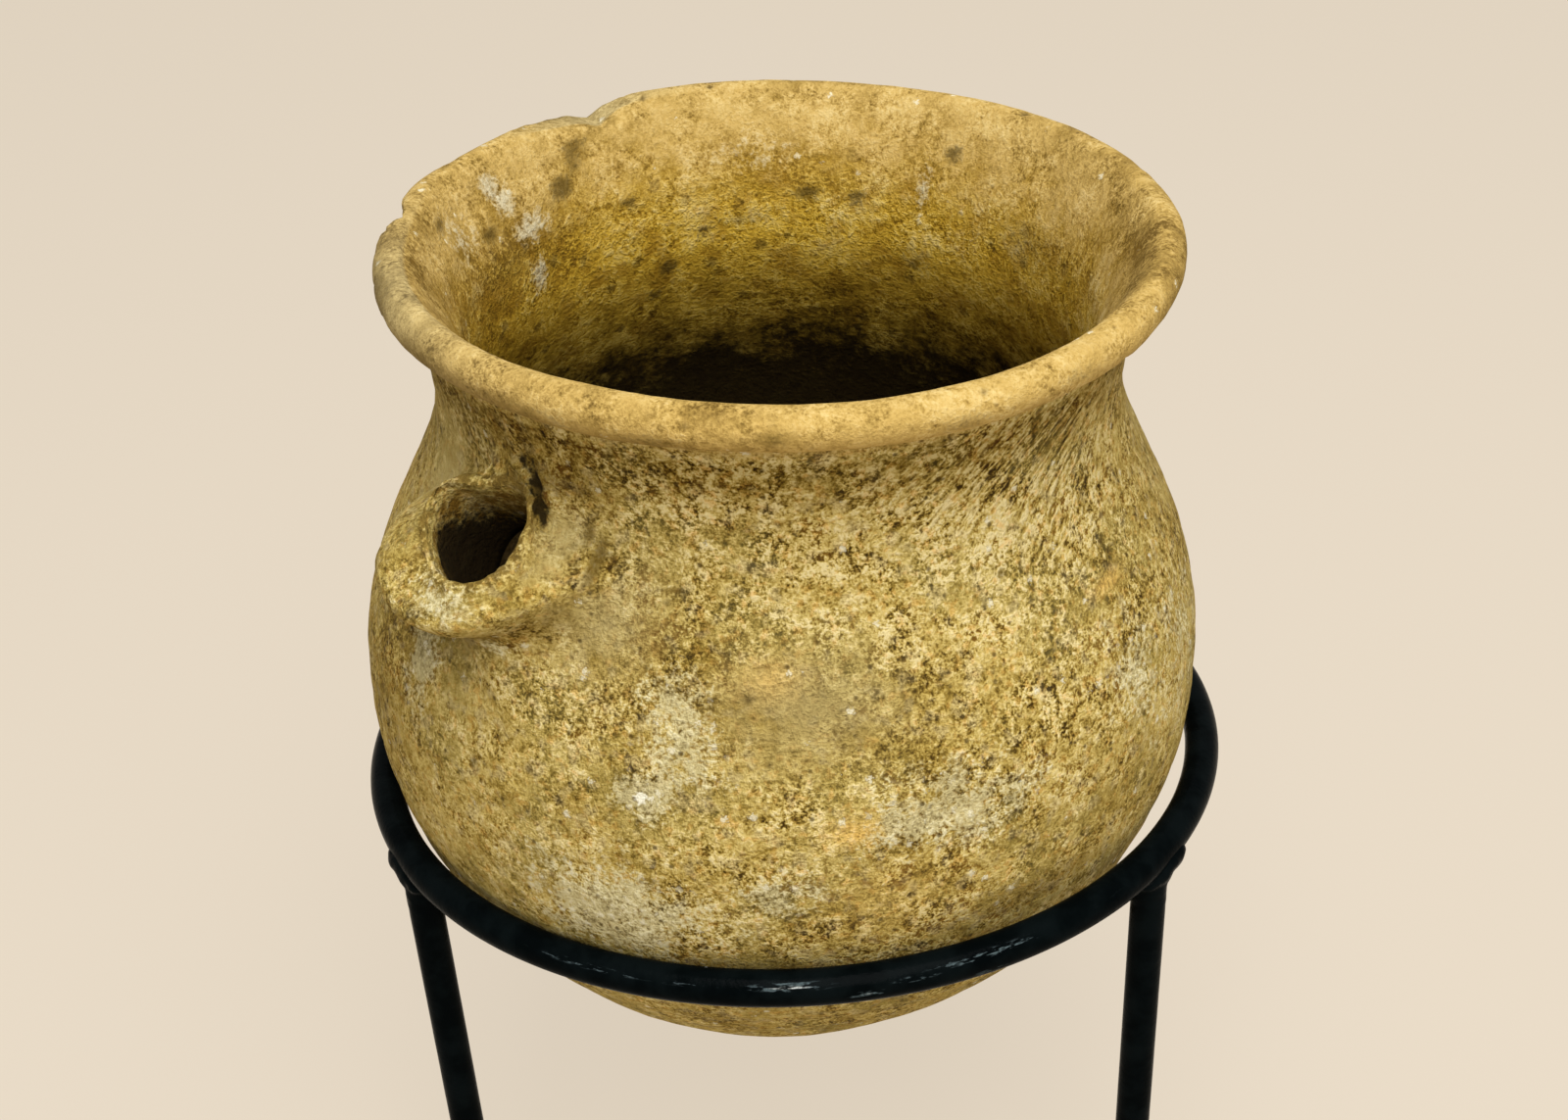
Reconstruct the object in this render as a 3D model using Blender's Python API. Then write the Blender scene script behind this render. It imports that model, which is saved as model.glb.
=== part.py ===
"""Small wide-mouthed pouring jar of fired clay, cradled in a black iron ring on three legs.

Metres, +Z up. The floor is z 0, the ring's axis is the Z axis, and the side that is seen
first faces -Y. The jar is built along its own axis with its seat level at z 0, the level
where the ring holds it, and is then set in the ring a little off centre and leaning. It was
made by hand, so its belly is slightly oval, its rim waves and its underside sits askew. Its
spout has broken off and left a short stub, and its rim has a notch and a worn break.
"""
import math

import bmesh
import bpy
from mathutils import Matrix, Vector

# Jar, heights above its underside
JAR_HEIGHT = 0.1509
BELLY_RADIUS = 0.0737
BELLY_HEIGHT = 0.0700
NECK_RADIUS = 0.0573
NECK_HEIGHT = 0.1267
LIP_RADIUS = 0.0656
LIP_THICKNESS = 0.0069
WALL = 0.0058
SEAT_HEIGHT = 0.0503

# Curve of the jar's outline
UNDERSIDE_FULLNESS = 1.80
SHOULDER_FULLNESS = 1.30
FLARE_FULLNESS = 1.70
LIP_START = math.radians(-115)
LIP_END = math.radians(150)

# Unevenness of the handmade jar: a share of its radius, then distances at its rim or underside
OVAL = 0.008
RIM_SHIFT = 0.0018
UNDERSIDE_SHIFT = 0.0029
RIM_RADIUS_WAVE = 0.00027
RIM_HEIGHT_WAVE = 0.00033

# How the jar sits in the ring, off the ring's axis and leaning
JAR_OFFSET = (-0.00144, 0.00151)
LEAN_FORWARD = math.radians(3.68)
LEAN_RIGHT = math.radians(1.02)
SEAT_GAP = 0.0003

# Spout stub: its mouth's middle stands off the shoulder, at a height above the jar's underside.
# Depths are measured from the mouth down the stub, and the broken end is tilted and ripples.
SPOUT_AZIMUTH = math.radians(224.5)
SPOUT_HEADING = math.radians(240)
SPOUT_HEIGHT = 0.1221
SPOUT_STAND_OFF = 0.0058
SPOUT_RISE = math.radians(72)
SPOUT_RADIUS = 0.0092
BORE_HEADING = math.radians(263)
BORE_RISE = math.radians(62)
BORE_RADIUS = 0.0070
BORE_INNER_RADIUS = 0.0112
BORE_DEPTH = 0.0240
COLLAR_RADIUS = 0.0175
COLLAR_SHIFT = 0.0012
COLLAR_ROOT_RADIUS = 0.0120
COLLAR_EDGE = 0.0012
COLLAR_DEPTH = 0.0062
COLLAR_STEPS = 4
STUB_ROOT = 0.0200
SPOUT_BREAK_TILT = math.radians(18)
SPOUT_BREAK_RIPPLE = 0.0008
SPOUT_BREAK_LOBES = 3
SPOUT_BREAK_TURN = math.radians(57)

# Damage to the rim: azimuth, width along the rim, depth, and stretch of the cutter
NOTCH_AZIMUTH = math.radians(168)
NOTCH_WIDTH = 0.0076
NOTCH_DEPTH = 0.0034
NOTCH_STRETCH = (1.0, 1.0, 2.0)
WORN_AZIMUTH = math.radians(123)
WORN_WIDTH = 0.0280
WORN_DEPTH = 0.0030
WORN_STRETCH = (0.8, 1.0, 1.0)

# Ring stand
BAR_DIAMETER = 0.0060
RING_HEIGHT = 0.1000
LEG_AZIMUTHS = {"left": math.radians(208.7), "right": math.radians(322.0), "back": math.radians(85.4)}
LEG_LEAN = math.radians(1.7)
WELD_GAP = 0.0003
WELD_LENGTH = 0.0105
WELD_HEIGHT = 0.0062
WELD_OVERHANG = 0.0022

# Facets
JAR_SIDES = 64
UNDERSIDE_STEPS = 10
SHOULDER_STEPS = 7
FLARE_STEPS = 4
LIP_STEPS = 7
INSIDE_STEPS = 15
SPOUT_SIDES = 24
RING_SIDES = 72
BAR_SIDES = 12
SEAT_LEVELS = 360
SEAT_TURNS = 120
WELD_ROWS = 8
CHIP_SUBDIVISIONS = 3

CLAY = ("clay", (0.46, 0.33, 0.15), 0.9, 0.0)
IRON = ("black_iron", (0.01, 0.012, 0.013), 0.4, 0.0)


def clear_scene():
    for item in list(bpy.data.objects):
        bpy.data.objects.remove(item, do_unlink=True)


def material(spec):
    name, colour, roughness, metallic = spec
    made = bpy.data.materials.get(name) or bpy.data.materials.new(name)
    made.use_nodes = True
    shader = made.node_tree.nodes["Principled BSDF"]
    shader.inputs["Base Color"].default_value = (*colour, 1.0)
    shader.inputs["Roughness"].default_value = roughness
    shader.inputs["Metallic"].default_value = metallic
    return made


def mesh_object(name, verts, faces, spec, parent=None, matrix=None):
    """A smooth-shaded object from points and faces, with its normals facing out."""
    mesh = bpy.data.meshes.new(name)
    mesh.from_pydata([tuple(v) for v in verts], [], faces)
    shell = bmesh.new()
    shell.from_mesh(mesh)
    bmesh.ops.recalc_face_normals(shell, faces=shell.faces)
    shell.to_mesh(mesh)
    shell.free()
    mesh.shade_smooth()
    mesh.set_sharp_from_angle(angle=math.radians(40))
    made = bpy.data.objects.new(name, mesh)
    made.data.materials.append(material(spec))
    made.parent = parent
    if matrix is not None:
        made.matrix_local = matrix
    bpy.context.scene.collection.objects.link(made)
    return made


def hide_tool(tool):
    tool.hide_render = True
    tool.display_type = "WIRE"
    return tool


def boolean(target, tool, operation):
    step = target.modifiers.new(tool.name, "BOOLEAN")
    step.object = tool
    step.operation = operation
    step.solver = "EXACT"


def lathe_faces(rows, sides):
    """Faces of stacked rings of `sides` points that start and end in one point each."""
    faces = []
    first, last = 0, 1 + rows * sides
    for i in range(sides):
        j = (i + 1) % sides
        faces.append((first, 1 + j, 1 + i))
        for row in range(rows - 1):
            low, high = 1 + row * sides, 1 + (row + 1) * sides
            faces.append((low + i, low + j, high + j, high + i))
        top = 1 + (rows - 1) * sides
        faces.append((top + i, top + j, last))
    return faces


def smooth(t):
    return t * t * (3 - 2 * t)


def lip_centre():
    return LIP_RADIUS - LIP_THICKNESS / 2, JAR_HEIGHT - LIP_THICKNESS / 2


def outer_outline():
    """Radius and height from the underside up to the lip's inner side, without the axis point."""
    points = []
    for i in range(1, UNDERSIDE_STEPS + 1):
        drop = math.cos(math.pi / 2 * i / UNDERSIDE_STEPS)
        radius = BELLY_RADIUS * math.sqrt(1 - drop ** UNDERSIDE_FULLNESS)
        points.append((radius, BELLY_HEIGHT * (1 - drop)))
    for i in range(1, SHOULDER_STEPS + 1):
        height_here = BELLY_HEIGHT + (NECK_HEIGHT - BELLY_HEIGHT) * i / SHOULDER_STEPS
        points.append((shoulder_radius(height_here), height_here))
    centre, height = lip_centre()
    half = LIP_THICKNESS / 2
    foot = (centre + half * math.cos(LIP_START), height + half * math.sin(LIP_START))
    for i in range(1, FLARE_STEPS):
        t = i / FLARE_STEPS
        radius = NECK_RADIUS + (foot[0] - NECK_RADIUS) * t ** FLARE_FULLNESS
        points.append((radius, NECK_HEIGHT + (foot[1] - NECK_HEIGHT) * t))
    for i in range(LIP_STEPS + 1):
        angle = LIP_START + (LIP_END - LIP_START) * i / LIP_STEPS
        points.append((centre + half * math.cos(angle), height + half * math.sin(angle)))
    return points


def inner_outline():
    """Radius and height down the inside, from below the lip to just above the floor's middle."""
    centre, height = lip_centre()
    half = LIP_THICKNESS / 2
    top_radius = centre + half * math.cos(LIP_END)
    top_height = height + half * math.sin(LIP_END)
    neck = NECK_RADIUS - WALL
    belly = BELLY_RADIUS - WALL
    points = []
    funnel = INSIDE_STEPS // 3
    for i in range(1, funnel + 1):
        t = i / funnel
        radius = neck + (top_radius - neck) * (1 - t) ** FLARE_FULLNESS
        points.append((radius, top_height + (NECK_HEIGHT - top_height) * t))
    shoulder = INSIDE_STEPS // 4
    for i in range(1, shoulder + 1):
        t = 1 - i / shoulder
        radius = belly - (belly - neck) * smooth(t ** SHOULDER_FULLNESS)
        points.append((radius, BELLY_HEIGHT + (NECK_HEIGHT - BELLY_HEIGHT) * t))
    rest = INSIDE_STEPS - funnel - shoulder
    for i in range(1, rest):
        drop = math.sin(math.pi / 2 * i / rest)
        radius = belly * math.sqrt(1 - drop ** UNDERSIDE_FULLNESS)
        points.append((radius, BELLY_HEIGHT - (BELLY_HEIGHT - WALL) * drop))
    return points


def jar_point(radius, height, azimuth):
    """A point of the uneven jar, from its even outline. The seat level comes out at z 0."""
    z = height - SEAT_HEIGHT
    rim = max(0.0, (height - BELLY_HEIGHT) / (JAR_HEIGHT - BELLY_HEIGHT)) ** 2
    radius += rim * RIM_RADIUS_WAVE * math.sin(-2 * azimuth)
    z += rim * RIM_HEIGHT_WAVE * math.cos(3 * azimuth)
    if z > 0:
        shift = RIM_SHIFT * (z / (JAR_HEIGHT - SEAT_HEIGHT)) ** 2
    else:
        shift = -UNDERSIDE_SHIFT * (z / SEAT_HEIGHT) ** 2
    x = radius * math.cos(azimuth) * (1 - OVAL) + shift
    y = radius * math.sin(azimuth) * (1 + OVAL)
    return Vector((x, y, z))


def jar_pose():
    place = Matrix.Translation((JAR_OFFSET[0], JAR_OFFSET[1], RING_HEIGHT))
    return place @ Matrix.Rotation(LEAN_FORWARD, 4, "X") @ Matrix.Rotation(LEAN_RIGHT, 4, "Y")


def ring_radius():
    """Centreline radius of the tightest ring whose bar clears the jar by the seat gap."""
    reach = BAR_DIAMETER / 2 + SEAT_GAP
    pose = jar_pose()
    tightest = 0.0
    for step in range(1, SEAT_LEVELS):
        drop = step / SEAT_LEVELS
        radius = BELLY_RADIUS * math.sqrt(1 - drop ** UNDERSIDE_FULLNESS)
        height = BELLY_HEIGHT * (1 - drop)
        for turn in range(SEAT_TURNS):
            point = pose @ jar_point(radius, height, 2 * math.pi * turn / SEAT_TURNS)
            away = point.z - RING_HEIGHT
            if abs(away) < reach:
                tightest = max(tightest, math.hypot(point.x, point.y) + math.sqrt(reach ** 2 - away ** 2))
    return tightest


def build_jar(holder):
    outline = outer_outline() + inner_outline()
    verts = [jar_point(0.0, 0.0, 0.0)]
    for radius, height in outline:
        verts += [jar_point(radius, height, 2 * math.pi * i / JAR_SIDES) for i in range(JAR_SIDES)]
    verts.append(jar_point(0.0, WALL, 0.0))
    return mesh_object("jar", verts, lathe_faces(len(outline), JAR_SIDES), CLAY, holder)


def shoulder_radius(height):
    """Radius of the jar's outline between its belly and its neck."""
    t = min(1.0, max(0.0, (height - BELLY_HEIGHT) / (NECK_HEIGHT - BELLY_HEIGHT)))
    return BELLY_RADIUS - (BELLY_RADIUS - NECK_RADIUS) * smooth(t ** SHOULDER_FULLNESS)


def spout_axes(heading, rise):
    """A matrix with its origin at the mouth's middle, Z out of the mouth and X down the wall."""
    out = Vector((math.cos(heading), math.sin(heading), 0))
    up = Vector((0, 0, 1))
    along = out * math.cos(rise) + up * math.sin(rise)
    down = out * math.sin(rise) - up * math.cos(rise)
    side = along.cross(down)
    matrix = Matrix((down, side, along)).transposed().to_4x4()
    reach = shoulder_radius(SPOUT_HEIGHT) + SPOUT_STAND_OFF
    matrix.translation = jar_point(reach, SPOUT_HEIGHT, SPOUT_AZIMUTH)
    return matrix


def build_spout_stub(holder):
    """The stub with its thick collar, a turned form whose broken end is tilted and ripples."""
    rows = [(STUB_ROOT, COLLAR_ROOT_RADIUS), (COLLAR_DEPTH + 2 * COLLAR_EDGE, COLLAR_RADIUS)]
    shelf = COLLAR_RADIUS - COLLAR_EDGE
    for i in range(COLLAR_STEPS):
        t = i / (COLLAR_STEPS - 1)
        rows.append((COLLAR_DEPTH * (1 - t), shelf - (shelf - SPOUT_RADIUS) * smooth(t)))
    verts = [Vector((0, 0, -STUB_ROOT))]
    for depth, radius in rows:
        broken = 1 - min(1.0, depth / COLLAR_DEPTH)
        aside = COLLAR_SHIFT * (1 - broken)
        for i in range(SPOUT_SIDES):
            angle = 2 * math.pi * i / SPOUT_SIDES
            tilt = -radius * math.cos(angle) * math.tan(SPOUT_BREAK_TILT)
            ripple = SPOUT_BREAK_RIPPLE * math.sin(SPOUT_BREAK_LOBES * angle + SPOUT_BREAK_TURN)
            z = -depth + broken * (tilt + ripple)
            verts.append(Vector((radius * math.cos(angle), aside + radius * math.sin(angle), z)))
    verts.append(Vector((0, 0, 0)))
    axes = spout_axes(SPOUT_HEADING, SPOUT_RISE)
    stub = mesh_object("spout_stub", verts, lathe_faces(len(rows), SPOUT_SIDES), CLAY, holder, axes)
    return hide_tool(stub)


def build_wall_core(holder):
    """The jar's body as far as the middle of its wall, which trims off the stub's hidden root."""
    outline = outer_outline()[:UNDERSIDE_STEPS + SHOULDER_STEPS + FLARE_STEPS - 1]
    verts = [jar_point(0.0, WALL / 2, 0.0)]
    for radius, height in outline:
        inset = radius - WALL / 2
        verts += [jar_point(inset, height, 2 * math.pi * i / JAR_SIDES) for i in range(JAR_SIDES)]
    verts.append(jar_point(0.0, outline[-1][1], 0.0))
    faces = lathe_faces(len(outline), JAR_SIDES)
    return hide_tool(mesh_object("wall_core", verts, faces, CLAY, holder))


def build_bore(holder):
    """The bore through stub and wall, which widens inwards from the mouth."""
    verts = []
    widening = (BORE_INNER_RADIUS - BORE_RADIUS) / BORE_DEPTH
    for z in (-BORE_DEPTH, SPOUT_RADIUS):
        radius = BORE_RADIUS - widening * z
        for i in range(SPOUT_SIDES):
            angle = 2 * math.pi * i / SPOUT_SIDES
            verts.append((radius * math.cos(angle), radius * math.sin(angle), z))
    faces = [tuple(range(SPOUT_SIDES)), tuple(range(SPOUT_SIDES, 2 * SPOUT_SIDES))]
    for i in range(SPOUT_SIDES):
        j = (i + 1) % SPOUT_SIDES
        faces.append((i, j, SPOUT_SIDES + j, SPOUT_SIDES + i))
    axes = spout_axes(BORE_HEADING, BORE_RISE)
    return hide_tool(mesh_object("spout_bore", verts, faces, CLAY, holder, axes))


def build_chip(name, holder, azimuth, width, depth, from_side, stretch):
    """A rounded cutter that takes a bite out of the rim, from its outer side or from its top."""
    centre, height = lip_centre()
    half = LIP_THICKNESS / 2
    radius = width ** 2 / (8 * depth) + depth / 2
    if from_side:
        middle = jar_point(centre + half - depth + radius, height, azimuth)
    else:
        middle = jar_point(centre, height + half - depth + radius, azimuth)
    ball = bmesh.new()
    bmesh.ops.create_icosphere(ball, subdivisions=CHIP_SUBDIVISIONS, radius=radius)
    bmesh.ops.scale(ball, vec=stretch, verts=ball.verts)
    verts = [v.co.copy() for v in ball.verts]
    faces = [tuple(v.index for v in f.verts) for f in ball.faces]
    ball.free()
    turn = Matrix.Translation(middle) @ Matrix.Rotation(azimuth, 4, "Z")
    return hide_tool(mesh_object(name, verts, faces, CLAY, holder, turn))


def build_ring(radius):
    verts, faces = [], []
    for i in range(RING_SIDES):
        turn = 2 * math.pi * i / RING_SIDES
        for j in range(BAR_SIDES):
            angle = 2 * math.pi * j / BAR_SIDES
            reach = radius + BAR_DIAMETER / 2 * math.cos(angle)
            z = RING_HEIGHT + BAR_DIAMETER / 2 * math.sin(angle)
            verts.append((reach * math.cos(turn), reach * math.sin(turn), z))
            after = (i + 1) % RING_SIDES * BAR_SIDES
            k = (j + 1) % BAR_SIDES
            faces.append((i * BAR_SIDES + j, after + j, after + k, i * BAR_SIDES + k))
    return mesh_object("stand_ring", verts, faces, IRON)


def build_ring_clearance(radius):
    """A fatter copy of the ring that cuts the legs and their welds clear of it."""
    bpy.ops.mesh.primitive_torus_add(
        major_segments=RING_SIDES, minor_segments=BAR_SIDES, major_radius=radius,
        minor_radius=BAR_DIAMETER / 2 + WELD_GAP, location=(0, 0, RING_HEIGHT))
    tool = bpy.context.object
    tool.name = "ring_clearance"
    return hide_tool(tool)


def build_leg(side, azimuth, radius, clearance):
    """A bar from the floor to the ring's underside, its foot cut level, with its weld on top."""
    top = RING_HEIGHT - BAR_DIAMETER / 4
    verts = []
    for z in (0.0, top):
        reach = radius - (RING_HEIGHT - z) * math.tan(LEG_LEAN)
        for i in range(BAR_SIDES):
            angle = 2 * math.pi * i / BAR_SIDES
            verts.append((reach + BAR_DIAMETER / 2 * math.cos(angle), BAR_DIAMETER / 2 * math.sin(angle), z))
    faces = [tuple(range(BAR_SIDES)), tuple(range(BAR_SIDES, 2 * BAR_SIDES))]
    for i in range(BAR_SIDES):
        j = (i + 1) % BAR_SIDES
        faces.append((i, j, BAR_SIDES + j, BAR_SIDES + i))
    turn = Matrix.Rotation(azimuth, 4, "Z")
    leg = mesh_object("stand_leg_" + side, verts, faces, IRON, None, turn)

    bead = bmesh.new()
    bmesh.ops.create_uvsphere(bead, u_segments=BAR_SIDES, v_segments=WELD_ROWS, radius=0.5)
    bmesh.ops.scale(bead, vec=(BAR_DIAMETER, WELD_LENGTH, WELD_HEIGHT), verts=bead.verts)
    middle = Vector((radius + WELD_OVERHANG / 2, 0, RING_HEIGHT - BAR_DIAMETER / 2))
    bmesh.ops.translate(bead, vec=middle, verts=bead.verts)
    weld_verts = [v.co.copy() for v in bead.verts]
    weld_faces = [tuple(v.index for v in f.verts) for f in bead.faces]
    bead.free()
    weld = mesh_object("weld_" + side, weld_verts, weld_faces, IRON, None, turn)
    boolean(leg, hide_tool(weld), "UNION")
    boolean(leg, clearance, "DIFFERENCE")
    return leg


def main():
    clear_scene()
    holder = bpy.data.objects.new("jar_seat", None)
    bpy.context.scene.collection.objects.link(holder)
    holder.matrix_world = jar_pose()

    jar = build_jar(holder)
    stub = build_spout_stub(holder)
    boolean(stub, build_wall_core(holder), "DIFFERENCE")
    boolean(jar, stub, "UNION")
    boolean(jar, build_bore(holder), "DIFFERENCE")
    notch = build_chip("rim_notch", holder, NOTCH_AZIMUTH, NOTCH_WIDTH, NOTCH_DEPTH, True, NOTCH_STRETCH)
    boolean(jar, notch, "DIFFERENCE")
    worn = build_chip("rim_worn", holder, WORN_AZIMUTH, WORN_WIDTH, WORN_DEPTH, False, WORN_STRETCH)
    boolean(jar, worn, "DIFFERENCE")

    radius = ring_radius()
    build_ring(radius)
    clearance = build_ring_clearance(radius)
    for side, azimuth in LEG_AZIMUTHS.items():
        build_leg(side, azimuth, radius, clearance)


main()
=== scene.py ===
"""The looks of an ancient fired clay pouring jar, cradled in a black iron ring stand.

The jar is rebuilt as one fine mesh from the same driving sizes as its solid: a turned skin, with
a window cut into its outer and its inner side where a second mesh runs out over the broken spout
stub, round its mouth and down its bore. Grit, pits, chips and wheel marks are moved into that
mesh, and the places of stains, lime crust and specks are kept as attributes for its material.
Lengths are metres, in the frame's own axes, unless a name ends in _MM or a comment says mm.
"""
import functools
import math
from math import radians

import bmesh
import bpy
import numpy as np
from mathutils import Matrix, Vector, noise


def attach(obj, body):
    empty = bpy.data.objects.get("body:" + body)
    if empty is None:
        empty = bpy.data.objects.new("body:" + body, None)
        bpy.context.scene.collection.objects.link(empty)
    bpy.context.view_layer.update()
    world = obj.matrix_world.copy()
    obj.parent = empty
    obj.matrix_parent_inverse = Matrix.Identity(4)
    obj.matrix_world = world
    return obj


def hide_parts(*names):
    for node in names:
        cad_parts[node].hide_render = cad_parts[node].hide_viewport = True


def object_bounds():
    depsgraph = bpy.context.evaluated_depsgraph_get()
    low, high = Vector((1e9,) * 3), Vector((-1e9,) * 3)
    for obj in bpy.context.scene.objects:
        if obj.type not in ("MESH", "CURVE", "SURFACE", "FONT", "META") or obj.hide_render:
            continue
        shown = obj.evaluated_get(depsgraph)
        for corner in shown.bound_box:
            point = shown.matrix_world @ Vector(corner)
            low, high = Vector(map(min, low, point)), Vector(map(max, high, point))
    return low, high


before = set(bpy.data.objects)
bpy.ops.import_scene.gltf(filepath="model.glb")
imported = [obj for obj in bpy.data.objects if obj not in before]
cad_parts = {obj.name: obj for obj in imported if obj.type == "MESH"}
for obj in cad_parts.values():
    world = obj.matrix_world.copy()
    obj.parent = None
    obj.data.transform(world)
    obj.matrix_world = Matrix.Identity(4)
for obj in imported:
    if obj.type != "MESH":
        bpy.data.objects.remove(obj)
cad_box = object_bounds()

# Jar, the sizes of its solid, heights above its underside
JAR_HEIGHT = 0.1509
BELLY_RADIUS = 0.0737
BELLY_HEIGHT = 0.0700
NECK_RADIUS = 0.0573
NECK_HEIGHT = 0.1267
LIP_RADIUS = 0.0656
LIP_THICKNESS = 0.0069
WALL = 0.0058
SEAT_HEIGHT = 0.0503
UNDERSIDE_FULLNESS = 1.80
SHOULDER_FULLNESS = 1.30
FLARE_FULLNESS = 1.70
FLARE_OVERRUN = 1.4
LIP_START = radians(-115)
LIP_END = radians(134)
LIP_INNER_HALF = 0.0027
FUNNEL_FULLNESS = 2.2

# Unevenness of the handmade jar
OVAL = 0.008
RIM_SHIFT = 0.0018
UNDERSIDE_SHIFT = 0.0029
RIM_RADIUS_WAVE = 0.00027
RIM_HEIGHT_WAVE = 0.00033

# How the jar sits in the ring
RING_HEIGHT = 0.1000
JAR_OFFSET = (-0.00144, 0.00151)
LEAN_FORWARD = radians(3.68)
LEAN_RIGHT = radians(1.02)

# Spout stub
SPOUT_AZIMUTH = radians(224.5)
SPOUT_HEADING = radians(240)
SPOUT_RISE = radians(72)
SPOUT_HEIGHT = 0.1234
SPOUT_STAND_OFF = 0.0086
SPOUT_RADIUS = 0.0096
SPOUT_CORNER = 0.0009
SPOUT_CORNER_TURN = radians(238)
SPOUT_CORNER_WIDTH = 0.28
BORE_RADIUS = 0.0080
BORE_SHIFT = 0.0003
MOUTH_LOBES = 3
MOUTH_LOBE_SHARE = 0.085
MOUTH_LOBE_TURN = radians(14)
COLLAR_RADIUS = 0.0160
COLLAR_SHIFT = -0.0016
COLLAR_DEPTH = 0.0052
STUB_ROOT = 0.0190
STUB_ROOT_RADIUS = 0.0080
BREAK_TILT = radians(18)
BREAK_RIPPLE = 0.0008
BREAK_LOBES = 3
BREAK_TURN = radians(57)
STUB_STEEPNESS = 0.8
# The broken end's rounded edge: share of the way out from the bore, and rise
MOUTH_EDGE = ((0.93, 0.00025), (0.5, 0.00040), (0.07, 0.00025), (0.0, 0.0))

# Where the stub runs into the wall: how softly on its left and right, and the windows' sizes
BLEND_LEFT = 0.0024
BLEND_RIGHT = 0.0130
BLEND_LEAST = 0.15
MERGED_TOP = 0.5
OUTER_WINDOW = 0.0270
WINDOW_DROP = 0.0120
INNER_HOLE_AZIMUTH = radians(225)
INNER_HOLE_HEIGHT = 0.1100
INNER_HOLE_RADIUS = 0.0078
INNER_WINDOW = 0.0125
OUTER_GAP = 0.0022
INNER_GAP = 0.0035

# Damage to the rim: the notch deepens slowly and ends steeply, the worn break lowers the rim's top
# Grains are layers of noise: size, share and seed of each
NOTCH_START = radians(163.5)
NOTCH_DEEPEST = radians(172.3)
NOTCH_END = radians(174.8)
NOTCH_DEPTH = 0.0034
NOTCH_ROUGHNESS = 0.0005
NOTCH_GRAINS = ((0.0040, 1, 6), (0.0017, 1, 5))
NOTCH_FOOT = 0.138
NOTCH_ROUGH_FROM = 0.0002
NOTCH_FRESH_FROM = 0.0003
WORN_START = radians(110)
WORN_STEEP = radians(119)
WORN_END = radians(142)
WORN_DEPTH = 0.0028
WORN_GROOVE = radians(119.1)
WORN_GROOVE_WIDTH = radians(2.2)
WORN_GROOVE_DEPTH = 0.0012
WORN_ROUGHNESS = 0.00015
WORN_GRAINS = ((0.0050, 1, 8), (0.0018, 0.5, 9))
WORN_FRESHNESS = 0.4
UNWORN_ROOM = 0.001
RIM_BULGE = 0.0011
BULGE_AZIMUTH = radians(159)
BULGE_WIDTH = radians(7)
BULGE_FOOT = 0.136
BULGE_FULL = 0.144

# Relief of the clay, in layers of noise: size of the lumps, how far they stand out, and seed
LUMPS = ((0.0310, 0.00024, 11), (0.0120, 0.00013, 12), (0.0052, 0.00007, 13), (0.0026, 0.00005, 14))
WHEEL_MARK_SPACING = 0.0061
WHEEL_MARK_DEPTH = 0.00010
WHEEL_MARK_INSIDE = 2.2
WHEEL_WANDER = 1.5
WHEEL_WANDER_SIZE = 0.04
WHEEL_PATCH_SIZE = 0.05
WHEEL_PATCH_SHARE = 0.35
BREAK_ROUGHNESS = 0.00035
BREAK_GRAINS = ((0.0019, 1, 23), (0.0010, 0.6, 24))
PIT_COUNT = 170
PIT_SIZES = (0.0006, 0.0017)
PIT_DEPTHS = (0.00020, 0.00055)
PIT_STEEPNESS = 1.4
PIT_FREE_FOOT = 0.02
PIT_FREE_STUB = 0.016
LIP_CHIP_COUNT = 26
LIP_CHIP_FOOT = 0.14
CHIP_SIZES = (0.0007, 0.0016)
CHIP_DEPTHS = (0.0003, 0.0007)
SEED = 7
SEED_SHIFT = 17.3

# The deep crevice between the stub and the neck, round the mouth from its right to its top
CREVICE_START = radians(108)
CREVICE_END = radians(163)
CREVICE_RADIUS = 0.0106
CREVICE_RISE = 0.0008
CREVICE_TALL = 0.0055
CREVICE_WIDTH = 0.0009
CREVICE_DEPTH = 0.0016
CREVICE_WANDER = 0.0004
CREVICE_WANDER_SIZE = 0.0030
CREVICE_REACH = 0.008
CREVICE_TILT_SHARE = 0.6
CREVICE_BLUNTNESS = 0.45

# Where dirt and painted shade darken the clay in a band under the lip, and painted shadow below the
# stub's collar
LIP_FOOT = 0.1405
DIRT_AND_SHADE_FOOT = 0.1270
DIRT_AND_SHADE_FULL = 0.1375
COLLAR_SHADE_DEPTH = 0.0105
COLLAR_SHADE_WIDTH = 0.0040
COLLAR_SHADE_REACH = (0.024, 0.018)
COLLAR_SHADE_FADE = 0.008
COLLAR_SHADE_SHARE = 0.8
# The lip's own look: how far its foot is lower inside, and how softly it starts outside and inside
LIP_FOOT_DROP = 0.014
LIP_EDGE, LIP_EDGE_INSIDE = 0.003, 0.015
# Painted shade down the bore: within what reach, over what length below and above, and from what share
BORE_REACH, BORE_RISE = 0.02, 0.004
BORE_SHADE_LENGTH, BORE_SHADE_LENGTH_ABOVE = 0.006, 0.015
BORE_SHADE_START = 0.12
PIT_SHADE_DEPTH = 0.0005

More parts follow.
